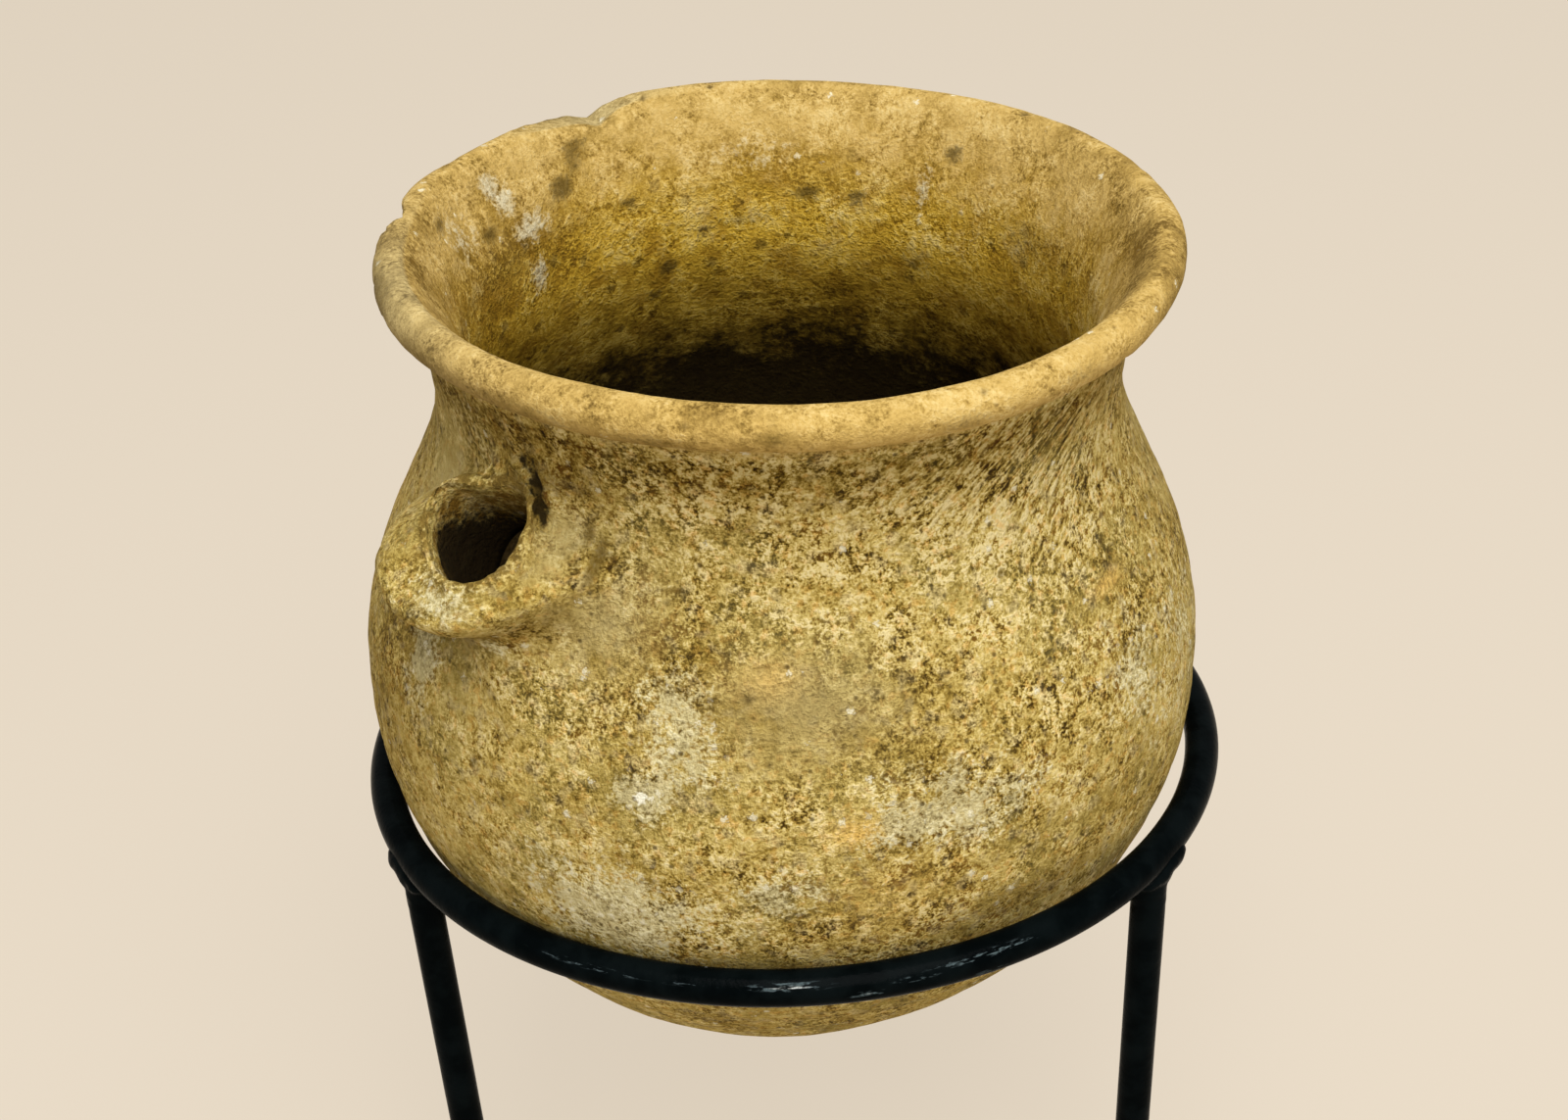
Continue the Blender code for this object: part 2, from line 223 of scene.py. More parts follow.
# Marks on the clay, lists of patches: azimuth in degrees, height and half sizes in mm, strength
SPECKED = (
    (257, 129, 22, 12, 1), (247, 123, 18, 10, 0.9), (278, 117, 26, 17, 0.8), (270, 139, 45, 4, 0.8),
    (302, 120, 30, 16, 0.65), (304, 96, 16, 10, 0.8), (240, 101, 13, 12, 0.55),
    (275, 80, 30, 16, 0.35), (272.5, 86.5, 6, 2.5, 1), (262, 67, 22, 8, 0.75), (291, 66, 18, 7, 0.55),
    (320, 110, 30, 18, 0.5), (120, 105, 60, 22, 0.5), (30, 95, 45, 25, 0.45),
)
LIMED = (
    (255.5, 97, 7, 10, 0.8), (252.5, 88.5, 5, 4, 1), (251.2, 88.2, 1.8, 1.6, 1.6),
    (247, 66, 17, 10, 0.9), (290, 83.5, 17, 7, 0.75), (268, 73, 8, 5, 0.65), (322, 90, 8, 10, 0.6),
    (212, 96, 5, 10, 0.9), (226, 116.3, 7, 2.2, 0.62), (229, 105.8, 3, 2, 0.6), (335, 85, 20, 15, 0.4),
    (150, 80, 25, 16, 0.5), (60, 100, 22, 14, 0.45),
)
GREYED = (
    (243, 112, 9, 10, 1), (236, 122.5, 5, 4.5, 1), (272, 102, 17, 8, 1), (205, 115, 12, 14, 0.8),
    (197, 148, 26, 6, 0.9), (121, 148, 13, 6, 0.9), (222, 105, 6, 7, 0.6), (10, 108, 22, 12, 0.7),
    (100, 90, 30, 14, 0.6),
)
REDDENED = (
    (267.8, 105.7, 4.5, 2.8, 1), (278, 83, 5, 2.2, 0.9), (322, 105, 5, 1.2, 0.7),
    (90, 150, 30, 4, 0.6), (275, 147, 20, 4, 0.4), (281, 70, 8, 6, 0.25), (170, 100, 12, 10, 0.5),
    (70, 85, 15, 10, 0.5),
)
STAINED = (
    (241.3, 120.6, 1.3, 3.4, 1), (239, 123.5, 1.2, 2.6, 0.8), (228, 129, 6, 3, 0.75),
    (233, 131, 12, 4, 0.6), (196, 147, 26, 6, 0.55), (232, 145.5, 20, 3.2, 0.6),
    (214, 146.5, 14, 4, 0.6), (247, 144, 12, 1.8, 0.6), (268, 147.5, 3, 1.6, 0.7),
    (281, 80, 10, 5, 0.3), (252, 145.5, 8, 2, 0.7), (340, 147, 22, 5, 0.5), (292, 146.5, 6, 2, 0.55),
    (310, 148, 5, 2, 0.5), (205, 80, 14, 12, 0.4), (300, 62, 22, 5, 0.6), (262, 56, 26, 5, 0.55),
    (20, 70, 20, 14, 0.45), (130, 65, 26, 12, 0.5),
)
# Lighter where the strength is above 0, darker where it is below
TONED = (
    (276, 124, 22, 16, 0.1), (304, 120, 20, 18, 0.17), (272, 105, 18, 10, -0.1),
    (252, 112, 12, 9, -0.12), (290, 78, 14, 9, -0.06), (240, 133, 14, 8, -0.14),
    (270, 68, 20, 10, -0.06), (224, 85, 18, 14, 0.12), (324, 80, 16, 14, 0.1),
    (202, 99, 12, 12, -0.17), (319, 98.5, 14, 12, -0.06), (219.4, 105.7, 10, 7, -0.26),
    (222, 100.1, 8, 3.5, 0.1), (90, 149, 45, 4, 0.12), (190, 148, 18, 5, -0.17),
    (350, 148, 18, 5, -0.2), (333, 149, 12, 4, -0.12), (315, 105, 12, 10, -0.08),
)
TONED_INSIDE = (
    (88, 125, 40, 7, 0.26), (78, 139, 30, 6, -0.08), (150, 135, 16, 10, -0.26),
    (172, 132, 22, 10, -0.18), (152, 124, 22, 6, -0.12), (100, 118, 40, 4, 0.08),
    (20, 136, 16, 10, -0.02),
)
SCRAPED = (
    (303, 132, 22, 10, 1), (318, 120, 16, 14, 0.8), (283, 133, 16, 6, 0.6), (215, 130, 12, 10, 0.6),
    (30, 125, 30, 14, 0.7), (120, 125, 30, 12, 0.6),
)
LIMED_INSIDE = (
    (149.2, 145.7, 2.2, 2.2, 1), (147.6, 143, 2.5, 2.2, 1), (144, 137.2, 5, 2.2, 0.9),
    (144.2, 128.5, 2, 3.4, 1), (93, 140.5, 12, 4.5, 0.3), (58, 136.2, 1.5, 6, 0.55),
    (163.3, 142.5, 6, 5, 0.45),
)
SPOTTED_INSIDE = (
    (133.8, 140.8, 3, 2.2, 1), (129.4, 144.1, 2.4, 1.4, 0.9), (166.9, 146.3, 3, 1.4, 0.8),
    (155, 139.7, 3, 1.8, 0.8), (120, 135, 2.2, 1.2, 0.8), (101, 118, 2, 1.4, 0.8),
    (104, 126.5, 1.6, 1, 0.8), (128, 146, 3.6, 1.4, 0.8), (111.6, 120.1, 2.6, 2, 1),
    (114, 113.3, 2.4, 1.8, 0.9), (82.4, 133.2, 3, 1.8, 0.9), (72.2, 132.8, 2.4, 1.6, 0.9),
    (53.2, 142.8, 2.4, 1.8, 0.9), (141, 130, 11, 5, 0.35), (96, 129, 16, 3, 0.4),
    (30, 133, 13, 6, 0.45), (60, 122, 9, 4, 0.45),
)

# The scraped strokes on the shoulder: their direction, a unit vector, and how much they draw noise out
SCRAPE_DIRECTION = (0.58, 0.40, 0.71)
SCRAPE_SQUEEZE = 0.12

# Stand
BAR_DIAMETER = 0.0060
RING_RADIUS = 0.07425
LEG_AZIMUTHS = {"left": radians(208.7), "right": radians(322.0), "back": radians(85.4)}
LEG_LEAN = radians(1.7)
# Where the ring's paint is worn, and where highlight lines are painted along its bar: way round the ring
# and round its bar, half sizes, all in degrees
PAINT_WORN_AND_HIGHLIGHTS = (
    (244, 40, 8, 8, 0.5), (256, 42, 5, 6, 0.4), (268, 42, 4.5, 10, 1), (277, -2, 2, 7, 0.8),
    (283, 24, 3, 8, 0.55), (292, 42, 7, 11, 0.62), (293, -20, 4, 8, 0.55), (228, -32, 7, 9, 0.6),
    (246, -35, 6, 8, 0.55), (309, 44, 6, 6, 0.35),
)
RING_COLUMNS = 300
BAR_SIDES = 28
WELD_VOXEL = 0.00040
# A weld's lumps: out from the bar's middle line, aside and up, and the three sizes of each
WELD_LUMPS = (
    ((0.0012, -0.0034, -0.0016), (0.0050, 0.0098, 0.0050)),
    ((0.0014, -0.0008, -0.0026), (0.0042, 0.0072, 0.0046)),
    ((0.0, 0.0022, -0.0032), (0.0060, 0.0048, 0.0032)),
)
WELD_FOOT, WELD_FULL = RING_HEIGHT - 0.011, RING_HEIGHT - 0.007
WELD_ROUGHNESS = 0.00018
WELD_GRAIN = 0.0017
WELD_SMOOTHING = 6
BALL_SIDES, BALL_ROWS = 24, 16
# How far the visible pieces stay within the solids' own box
BOX_GAP = 0.00005
BAR_GAP = 0.00004

# Facets
COLUMNS = 384
UNDERSIDE_ROWS = 84
SHOULDER_ROWS = 56
FLARE_ROWS = 14
LIP_ROWS = 17
FUNNEL_ROWS = 14
INNER_SHOULDER_ROWS = 18
FLOOR_ROWS = 30
STUB_POINTS = 150
STUB_RINGS = 36
BORE_RINGS = 12
HOLE_RINGS = 4
FRESH_RINGS = 3.0
RELAX_STEPS = 70
RELAX_SHARE = 0.7
SLOPE_STEP = 0.0004
SETTLE_STEP = 0.00002
SLOPE_LEAST = 0.05

# Camera, as fitted to the photograph
CAMERA_PLACE = (0.00009, -0.34932, 0.32740)
CAMERA_PITCH = radians(-28.832)
CAMERA_ROLL = radians(-3.101)
FOCAL_LENGTH_MM = 51.75
SENSOR_MM = 36.0

# Stage
FLOOR_HALF = 3.0
FLOOR_COLOUR = (0.13, 0.114, 0.092)
FLOOR_GLOW = (0.761, 0.665, 0.539)
FLOOR_GLOW_STRENGTH = 0.85
SKY_COLOUR = (1.0, 0.96, 0.9)
SKY_STRENGTH = 0.5

# Lamps: energy, size, place and tilt in degrees
LAMPS = {
    "overhead": (17.0, 0.90, (0.15, -0.55, 1.15), 25),
    "front": (2.6, 0.35, (0.20, -1.00, 0.75), 56),
}

JAR_POSE = (
    Matrix.Translation((JAR_OFFSET[0], JAR_OFFSET[1], RING_HEIGHT))
    @ Matrix.Rotation(LEAN_FORWARD, 4, "X")
    @ Matrix.Rotation(LEAN_RIGHT, 4, "Y")
)


# Outline of the even jar

def smooth(t):
    return t * t * (3 - 2 * t)


def share_of(value, start, end):
    """How far a value has come from a start to an end, from 0 to 1."""
    return np.clip((value - start) / (end - start), 0, 1)


def turn_from(azimuth, middle):
    """The shorter way round from a middle to an azimuth."""
    return (azimuth - middle + np.pi) % (2 * np.pi) - np.pi


def lip_point(angle):
    """A point of the lip's round edge, whose inner side is narrower than its outer side."""
    half = LIP_THICKNESS / 2
    aside = np.where((np.sin(angle) > 0) & (np.cos(angle) < 0), LIP_INNER_HALF, half)
    return LIP_RADIUS - half + aside * np.cos(angle), JAR_HEIGHT - half + half * np.sin(angle)


def wall_radius(height, inset, lip_angle, fullness, furthest):
    """Radius at a height of a skin set in from the outer one, up to a point of the lip's edge."""
    height = np.asarray(height, dtype=float)
    neck, belly = NECK_RADIUS - inset, BELLY_RADIUS - inset
    drop = share_of(height, BELLY_HEIGHT, inset)
    under = belly * np.sqrt(1 - drop ** UNDERSIDE_FULLNESS)
    t = share_of(height, BELLY_HEIGHT, NECK_HEIGHT)
    above = belly - (belly - neck) * smooth(t ** SHOULDER_FULLNESS)
    end_radius, end_height = lip_point(lip_angle)
    s = np.clip((height - NECK_HEIGHT) / (end_height - NECK_HEIGHT), 0, furthest)
    above = above + (end_radius - neck) * s ** fullness
    return np.where(height < BELLY_HEIGHT, under, above)


def skin_radius(height):
    return wall_radius(height, 0, LIP_START, FLARE_FULLNESS, FLARE_OVERRUN)


def cavity_radius(height):
    return wall_radius(height, WALL, LIP_END, FUNNEL_FULLNESS, 1)


def outline():
    """Radii, heights and the share of the way inside, from the underside over the lip to the floor."""
    quarter = np.pi / 2
    under = BELLY_HEIGHT * (1 - np.cos(quarter * np.arange(1, UNDERSIDE_ROWS + 1) / UNDERSIDE_ROWS))
    shoulder = np.linspace(BELLY_HEIGHT, NECK_HEIGHT, SHOULDER_ROWS + 1)[1:]
    foot_height = lip_point(LIP_START)[1]
    flare = np.linspace(NECK_HEIGHT, foot_height, FLARE_ROWS + 1)[1:-1]
    outer = np.concatenate([under, shoulder, flare])
    lip_radius, lip_height = lip_point(np.linspace(LIP_START, LIP_END, LIP_ROWS))
    funnel = np.linspace(lip_point(LIP_END)[1], NECK_HEIGHT, FUNNEL_ROWS + 1)[1:]
    inner_shoulder = np.linspace(NECK_HEIGHT, BELLY_HEIGHT, INNER_SHOULDER_ROWS + 1)[1:]
    sink = np.sin(quarter * np.arange(1, FLOOR_ROWS) / FLOOR_ROWS)
    floor = BELLY_HEIGHT - (BELLY_HEIGHT - WALL) * sink
    inner = np.concatenate([funnel, inner_shoulder, floor])
    radii = np.concatenate([skin_radius(outer), lip_radius, cavity_radius(inner)])
    heights = np.concatenate([outer, lip_height, inner])
    inside = np.concatenate([np.zeros(len(outer)), np.linspace(0, 1, LIP_ROWS), np.ones(len(inner))])
    return radii, heights, inside


# The uneven jar, with its seat level at z 0

def shift_at(z):
    up = RIM_SHIFT * (z / (JAR_HEIGHT - SEAT_HEIGHT)) ** 2
    down = -UNDERSIDE_SHIFT * (z / SEAT_HEIGHT) ** 2
    return np.where(z > 0, up, down)


def rim_share(height):
    return np.clip((height - BELLY_HEIGHT) / (JAR_HEIGHT - BELLY_HEIGHT), 0, None) ** 2


def uneven(radius, height, azimuth):
    """Points of the uneven jar from its even outline."""
    rim = rim_share(height)
    radius = radius + rim * RIM_RADIUS_WAVE * np.sin(-2 * azimuth)
    z = height - SEAT_HEIGHT + rim * RIM_HEIGHT_WAVE * np.cos(3 * azimuth)
    x = radius * np.cos(azimuth) * (1 - OVAL) + shift_at(z)
    y = radius * np.sin(azimuth) * (1 + OVAL)
    return np.stack(np.broadcast_arrays(x, y, z), axis=-1)


def even(points):
    """Radius, height and azimuth on the even outline of points of the uneven jar."""
    x = (points[..., 0] - shift_at(points[..., 2])) / (1 - OVAL)
    y = points[..., 1] / (1 + OVAL)
    azimuth = np.arctan2(y, x) % (2 * np.pi)
    height = points[..., 2] + SEAT_HEIGHT
    rim = rim_share(height)
    height = height - rim * RIM_HEIGHT_WAVE * np.cos(3 * azimuth)
    radius = np.hypot(x, y) - rim * RIM_RADIUS_WAVE * np.sin(-2 * azimuth)
    return radius, height, azimuth


def slope_at(height, profile):
    return (profile(height + SLOPE_STEP) - profile(height - SLOPE_STEP)) / (2 * SLOPE_STEP)


def beyond(points, profile):
    """Distance of points beyond the outer or the inner skin, less than 0 nearer the axis."""
    radius, height, _ = even(points)
    return (radius - profile(height)) / np.sqrt(1 + slope_at(height, profile) ** 2)


# The spout stub

def spout_frame():
    """Its origin at the mouth's middle, and its axes: down the wall, to the right, out of the mouth."""
    out = np.array([math.cos(SPOUT_HEADING), math.sin(SPOUT_HEADING), 0.0])
    up = np.array([0.0, 0.0, 1.0])
    along = out * math.cos(SPOUT_RISE) + up * math.sin(SPOUT_RISE)
    down = out * math.sin(SPOUT_RISE) - up * math.cos(SPOUT_RISE)
    reach = skin_radius(SPOUT_HEIGHT) + SPOUT_STAND_OFF
    return uneven(reach, SPOUT_HEIGHT, SPOUT_AZIMUTH), np.array([down, np.cross(along, down), along])


SPOUT_ORIGIN, SPOUT_AXES = spout_frame()


def in_stub(points):
    """Points in the stub's own axes."""
    return (points - SPOUT_ORIGIN) @ SPOUT_AXES.T


def off_axis(local):
    return np.hypot(local[..., 0], local[..., 1])


def break_height(across, angle):
    """How far the broken end stands out of the mouth's plane: it is tilted and ripples."""
    return -across * math.tan(BREAK_TILT) + BREAK_RIPPLE * np.sin(BREAK_LOBES * angle + BREAK_TURN)


def beyond_stub(local):
    """Distance of points in the stub's own axes beyond its outer side, collar included."""
    depth = -local[..., 2]
    shelf = share_of(depth, 0, COLLAR_DEPTH)
    taper = share_of(depth, COLLAR_DEPTH, STUB_ROOT)
    across = np.hypot(local[..., 0], local[..., 1] - COLLAR_SHIFT * shelf)
    radius = SPOUT_RADIUS + (COLLAR_RADIUS - SPOUT_RADIUS) * smooth(shelf)
    radius = radius - (COLLAR_RADIUS - STUB_ROOT_RADIUS) * smooth(taper)
    above = -depth - break_height(local[..., 0], np.arctan2(local[..., 1], local[..., 0]))
    return np.maximum(np.maximum((across - radius) * STUB_STEEPNESS, depth - STUB_ROOT), above)


def beyond_both(points):
    """Distance beyond the jar and its stub, which run softly into each other."""
    local = in_stub(points)
    wall = beyond(points, skin_radius)
    stub = beyond_stub(local)
    turn = local[..., 1] / np.maximum(off_axis(local), 1e-6)
    softness = BLEND_LEFT + (BLEND_RIGHT - BLEND_LEFT) * smooth(0.5 + 0.5 * turn)
    upper = smooth(share_of(-local[..., 0], 0, SPOUT_RADIUS))
    softness = softness * np.clip(-local[..., 2] / COLLAR_DEPTH, BLEND_LEAST + MERGED_TOP * upper, 1)
    share = np.clip(0.5 + 0.5 * (stub - wall) / softness, 0, 1)
    return stub + (wall - stub) * share - softness * share * (1 - share)


def settle(points, distance, steps=3):
    """Points moved onto the surface where the distance is 0."""
    for _ in range(steps):
        here = distance(points)
        slope = np.stack([(distance(points + SETTLE_STEP * axis) - here) / SETTLE_STEP
                          for axis in np.eye(3)], axis=-1)
        size = np.maximum((slope ** 2).sum(-1), SLOPE_LEAST)
        points = points - (here / size)[..., None] * slope
    return points


def relax(rings, distance, steps):
    """Rings of points spread evenly over a surface between the first and the last ring, which stay."""
    for _ in range(steps):
        along = (np.roll(rings, 1, axis=1) + np.roll(rings, -1, axis=1)) / 2
        across = (rings[:-2] + rings[2:]) / 2
        inner = (along[1:-1] + across) / 2
        rings[1:-1] = settle(rings[1:-1] + RELAX_SHARE * (inner - rings[1:-1]), distance, 1)
    rings[1:-1] = settle(rings[1:-1], distance)
    return rings


def spread_at(height, profile):
    """Skin length per azimuth and per height at a height."""
    return float(profile(height)), math.hypot(1, slope_at(height, profile))


def skin_ring(azimuth, height, size, angles, profile):
    """A ring of points on a skin, about a size away from a middle."""
    per_azimuth, per_height = spread_at(height, profile)
    heights = height + size * np.sin(angles) / per_height
    azimuths = azimuth + size * np.cos(angles) / per_azimuth
    return uneven(profile(heights), heights, azimuths)


def skin_flat(points, azimuth, height, profile):
    """Points as right and up distances along a skin from a middle, the inverse of skin_ring."""
    _, heights, azimuths = even(points)
    per_azimuth, per_height = spread_at(height, profile)
    right = turn_from(azimuths, azimuth) * per_azimuth
    return np.stack([right, (heights - height) * per_height], axis=-1)


def mouth_ring(share, rise, angles):
    """A ring round the broken mouth between the bore's edge, share 0, and its outer edge, share 1."""
    off = turn_from(angles, SPOUT_CORNER_TURN)
    corner = SPOUT_CORNER * np.exp(-(off / SPOUT_CORNER_WIDTH) ** 2)
    lobed = 1 + MOUTH_LOBE_SHARE * np.cos(MOUTH_LOBES * (angles - MOUTH_LOBE_TURN))
    radius = (BORE_RADIUS + (SPOUT_RADIUS - BORE_RADIUS) * share) * lobed + corner
    across = radius * np.cos(angles) + BORE_SHIFT * (1 - share)
    aside = radius * np.sin(angles)
    out = rise + break_height(across, angles)
    return SPOUT_ORIGIN + np.stack([across, aside, out], axis=-1) @ SPOUT_AXES


def stub_rings():
    """All rings from the outer window over stub, mouth and bore to the inner window."""
    turn = 2 * np.pi * np.arange(STUB_POINTS) / STUB_POINTS
    middle_height = SPOUT_HEIGHT - WINDOW_DROP
    first = skin_ring(SPOUT_AZIMUTH, middle_height, OUTER_WINDOW, turn, skin_radius)
    # On the skin the angle runs from the right upwards, and on the mouth from down to the right.
    angles = np.pi / 2 + turn
    edge = settle(mouth_ring(1.0, 0.0, angles), beyond_both)
    shares = (np.arange(STUB_RINGS + 1) / STUB_RINGS)[:, None, None]
    rings = first + (edge - first) * shares
    rings = relax(rings, beyond_both, RELAX_STEPS)

    bore_edge = mouth_ring(0.0, 0.0, angles)
    end = [bore_edge + (edge - bore_edge) * share + rise * SPOUT_AXES[2] for share, rise in MOUTH_EDGE]
    hole = skin_ring(INNER_HOLE_AZIMUTH, INNER_HOLE_HEIGHT, INNER_HOLE_RADIUS, turn, cavity_radius)
    bore = [end[-1] + (hole - end[-1]) * i / BORE_RINGS for i in range(1, BORE_RINGS + 1)]
    window = skin_ring(INNER_HOLE_AZIMUTH, INNER_HOLE_HEIGHT, INNER_WINDOW, turn, cavity_radius)
    inner = [settle(hole + (window - hole) * i / HOLE_RINGS, lambda p: beyond(p, cavity_radius))
             for i in range(1, HOLE_RINGS + 1)]
    rings = np.concatenate([rings, np.array(end + bore + inner)])
    inside = np.concatenate([
        np.zeros(STUB_RINGS + 1 + len(end)), np.linspace(0, 1, BORE_RINGS), np.ones(HOLE_RINGS)])
    near_end = np.exp(-((np.arange(len(rings)) - STUB_RINGS - 2) / FRESH_RINGS) ** 2)
    return rings, inside, near_end


# Joining meshes

def ring_faces(start, rings, points):
    """Faces between rings of points, the first of which begin at a start."""
    faces = []
    for ring in range(rings - 1):
        low = start + ring * points
        for i in range(points):
            j = (i + 1) % points
            faces.append((low + i, low + j, low + points + j, low + points + i))
    return faces


def lathe_faces(rows, columns):
    """Faces of stacked rings that start and end in one point each."""
    faces = ring_faces(1, rows, columns)
    top = 1 + (rows - 1) * columns
    for i in range(columns):
        j = (i + 1) % columns
        faces += [(0, 1 + j, 1 + i), (top + i, top + j, top + columns)]
    return faces


def sides_of(faces):
    return {frozenset(side) for face in faces for side in zip(face, face[1:] + face[:1])}


def cut_window(faces, near, wanted):
    """Faces without those whose points are all near, and in order the points round the hole left."""
    gone = [face for face in faces if wanted(face) and all(near[v] for v in face)]
    removed = set(gone)
    kept = [face for face in faces if face not in removed]
    reach = {v for face in gone for v in face}
    rim = sides_of(gone) & sides_of([face for face in kept if reach.intersection(face)])
    beside = {}
    for one, other in map(tuple, rim):
        beside.setdefault(one, []).append(other)
        beside.setdefault(other, []).append(one)
    start = min(beside)
    loop, last, here = [start], None, start
    while True:
        step = next(v for v in beside[here] if v != last)
        if step == start:
            return kept, loop
        loop.append(step)
        last, here = here, step


def zip_loops(first, second, flat):
    """Triangles between two loops that lie one in the other, in a flat view of the skin."""
    def turned(loop):
        spots = flat[loop]
        after = np.roll(spots, -1, axis=0)
        area = (spots[:, 0] * after[:, 1] - spots[:, 1] * after[:, 0]).sum()
        return loop if area > 0 else loop[::-1]

    a, b = turned(first), turned(second)
    nearest = int(np.argmin(np.linalg.norm(flat[a] - flat[b[0]], axis=1)))
    a = a[nearest:] + a[:nearest]
    faces, i, j = [], 0, 0
    while i < len(a) or j < len(b):
        here_a, next_a = a[i % len(a)], a[(i + 1) % len(a)]
        here_b, next_b = b[j % len(b)], b[(j + 1) % len(b)]
        step_a = np.linalg.norm(flat[next_a] - flat[here_b])
        step_b = np.linalg.norm(flat[here_a] - flat[next_b])
        if j == len(b) or (i < len(a) and step_a < step_b):
            faces.append((here_a, next_a, here_b))
            i += 1
        else:
            faces.append((here_a, next_b, here_b))
            j += 1
    return faces


def jar_mesh():
    """Points, faces and the share inside of the jar with its stub, before its relief."""
    radii, heights, inside_rows = outline()
    turn = 2 * np.pi * np.arange(COLUMNS) / COLUMNS
    skin = uneven(radii[:, None], heights[:, None], turn[None, :]).reshape(-1, 3)
    bottom = uneven(0.0, 0.0, 0.0)[None]
    floor = uneven(0.0, WALL, 0.0)[None]
    points = np.concatenate([bottom, skin, floor])
    inside = np.concatenate([[0.0], np.repeat(inside_rows, COLUMNS), [1.0]])
    faces = lathe_faces(len(radii), COLUMNS)

    outer = (SPOUT_AZIMUTH, SPOUT_HEIGHT - WINDOW_DROP, skin_radius)
    inner = (INNER_HOLE_AZIMUTH, INNER_HOLE_HEIGHT, cavity_radius)
    near = np.hypot(*skin_flat(points, *outer).T) < OUTER_WINDOW + OUTER_GAP
    faces, outer_edge = cut_window(faces, near, lambda face: inside[face[0]] == 0)
    near = np.hypot(*skin_flat(points, *inner).T) < INNER_WINDOW + INNER_GAP
    faces, inner_edge = cut_window(faces, near, lambda face: inside[face[0]] == 1)

    rings, ring_inside, near_end = stub_rings()
    start = len(points)
    points = np.concatenate([points, rings.reshape(-1, 3)])
    inside = np.concatenate([inside, np.repeat(ring_inside, STUB_POINTS)])
    broken = np.concatenate([np.zeros(start), np.repeat(near_end, STUB_POINTS)])
    faces += ring_faces(start, len(rings), STUB_POINTS)
    first = list(range(start, start + STUB_POINTS))
    last = list(range(len(points) - STUB_POINTS, len(points)))
    faces += zip_loops(outer_edge, first, skin_flat(points, *outer))
    faces += zip_loops(inner_edge, last, skin_flat(points, *inner))
    return points, faces, inside, broken


# Relief

def waves(points, size, seed):
    """Soft noise between about -1 and 1 whose lumps have a size."""
    spots = points / size + seed * SEED_SHIFT
    return np.array([noise.noise(spot) for spot in spots.tolist()])


def layered(points, layers):
    """Noise in layers, each with its size, amount and seed."""
    return sum(amount * waves(points, size, seed) for size, amount, seed in layers)


def normals_of(points, faces):
    """Outward unit normals at the points."""
    mesh = closed_mesh("normals", points, faces)
    out = np.empty(len(points) * 3)
    mesh.vertex_normals.foreach_get("vector", out)
    bpy.data.meshes.remove(mesh)
    return out.reshape(-1, 3)


def outward(azimuth, reach):
    """Steps away from the jar's axis."""
    return reach[:, None] * np.stack([np.cos(azimuth), np.sin(azimuth), 0 * azimuth], axis=-1)


def wear_rim(points):
    """The bulge, the notch and the worn break of the rim, and how fresh the clay's breaks are."""
    _, height, azimuth = even(points)
    bulge = RIM_BULGE * np.exp(-((azimuth - BULGE_AZIMUTH) / BULGE_WIDTH) ** 2)
    points = points + outward(azimuth, bulge * smooth(share_of(height, BULGE_FOOT, BULGE_FULL)))

    radius, height, azimuth = even(points)
    into = share_of(azimuth, NOTCH_START, NOTCH_DEEPEST)
    cut = NOTCH_DEPTH * into * share_of(azimuth, NOTCH_END, NOTCH_DEEPEST)
    rough = NOTCH_ROUGHNESS * layered(points, NOTCH_GRAINS) * (cut > NOTCH_ROUGH_FROM)
    push = np.clip(radius - (LIP_RADIUS - cut + rough), 0, None) * ((cut > 0) & (height > NOTCH_FOOT))
    points = points - outward(azimuth, push)

    azimuth = np.arctan2(points[:, 1], points[:, 0]) % (2 * np.pi)
    worn = share_of(azimuth, WORN_START, WORN_STEEP) * smooth(share_of(azimuth, WORN_END, WORN_STEEP))
    groove = WORN_GROOVE_DEPTH * np.exp(-((azimuth - WORN_GROOVE) / WORN_GROOVE_WIDTH) ** 2)
    rough = WORN_ROUGHNESS * layered(points, WORN_GRAINS)
    top = JAR_HEIGHT - SEAT_HEIGHT + RIM_HEIGHT_WAVE * np.cos(3 * azimuth)
    limit = top - worn * (WORN_DEPTH + groove + rough) + UNWORN_ROOM * (worn < 0.01)
    low = points[:, 2] > limit
    points[:, 2] = np.minimum(points[:, 2], limit)
    return points, np.maximum(push > NOTCH_FRESH_FROM, WORN_FRESHNESS * low)


def pits(points, spots, sizes, depths):
    """How deep each point lies in small round pits."""
    deep = np.zeros(len(points))
    for spot, size, depth in zip(spots, sizes, depths):
        off = points - spot
        near = np.flatnonzero((off ** 2).sum(-1) < (2 * size) ** 2)
        reach = np.linalg.norm(off[near], axis=-1) / size
        deep[near] = np.maximum(deep[near], depth * np.exp(-reach ** 2 * PIT_STEEPNESS))
    return deep


def crevice(points, inside):
    """How deep each point lies in the crevice beside the mouth."""
    local = in_stub(points)
    angle = np.arctan2(local[:, 1], local[:, 0])
    way = share_of(angle, CREVICE_START, CREVICE_END)
    radius = off_axis(local) + CREVICE_WANDER * waves(points, CREVICE_WANDER_SIZE, 41)
    rise = local[:, 2] - CREVICE_RISE + local[:, 0] * math.tan(BREAK_TILT) * CREVICE_TILT_SHARE
    across = np.exp(-((radius - CREVICE_RADIUS) / CREVICE_WIDTH) ** 2 - (rise / CREVICE_TALL) ** 2)
    here = (np.abs(local[:, 2]) < CREVICE_REACH) & (inside < 0.01)
    return CREVICE_DEPTH * across * np.sin(np.pi * way) ** CREVICE_BLUNTNESS * here


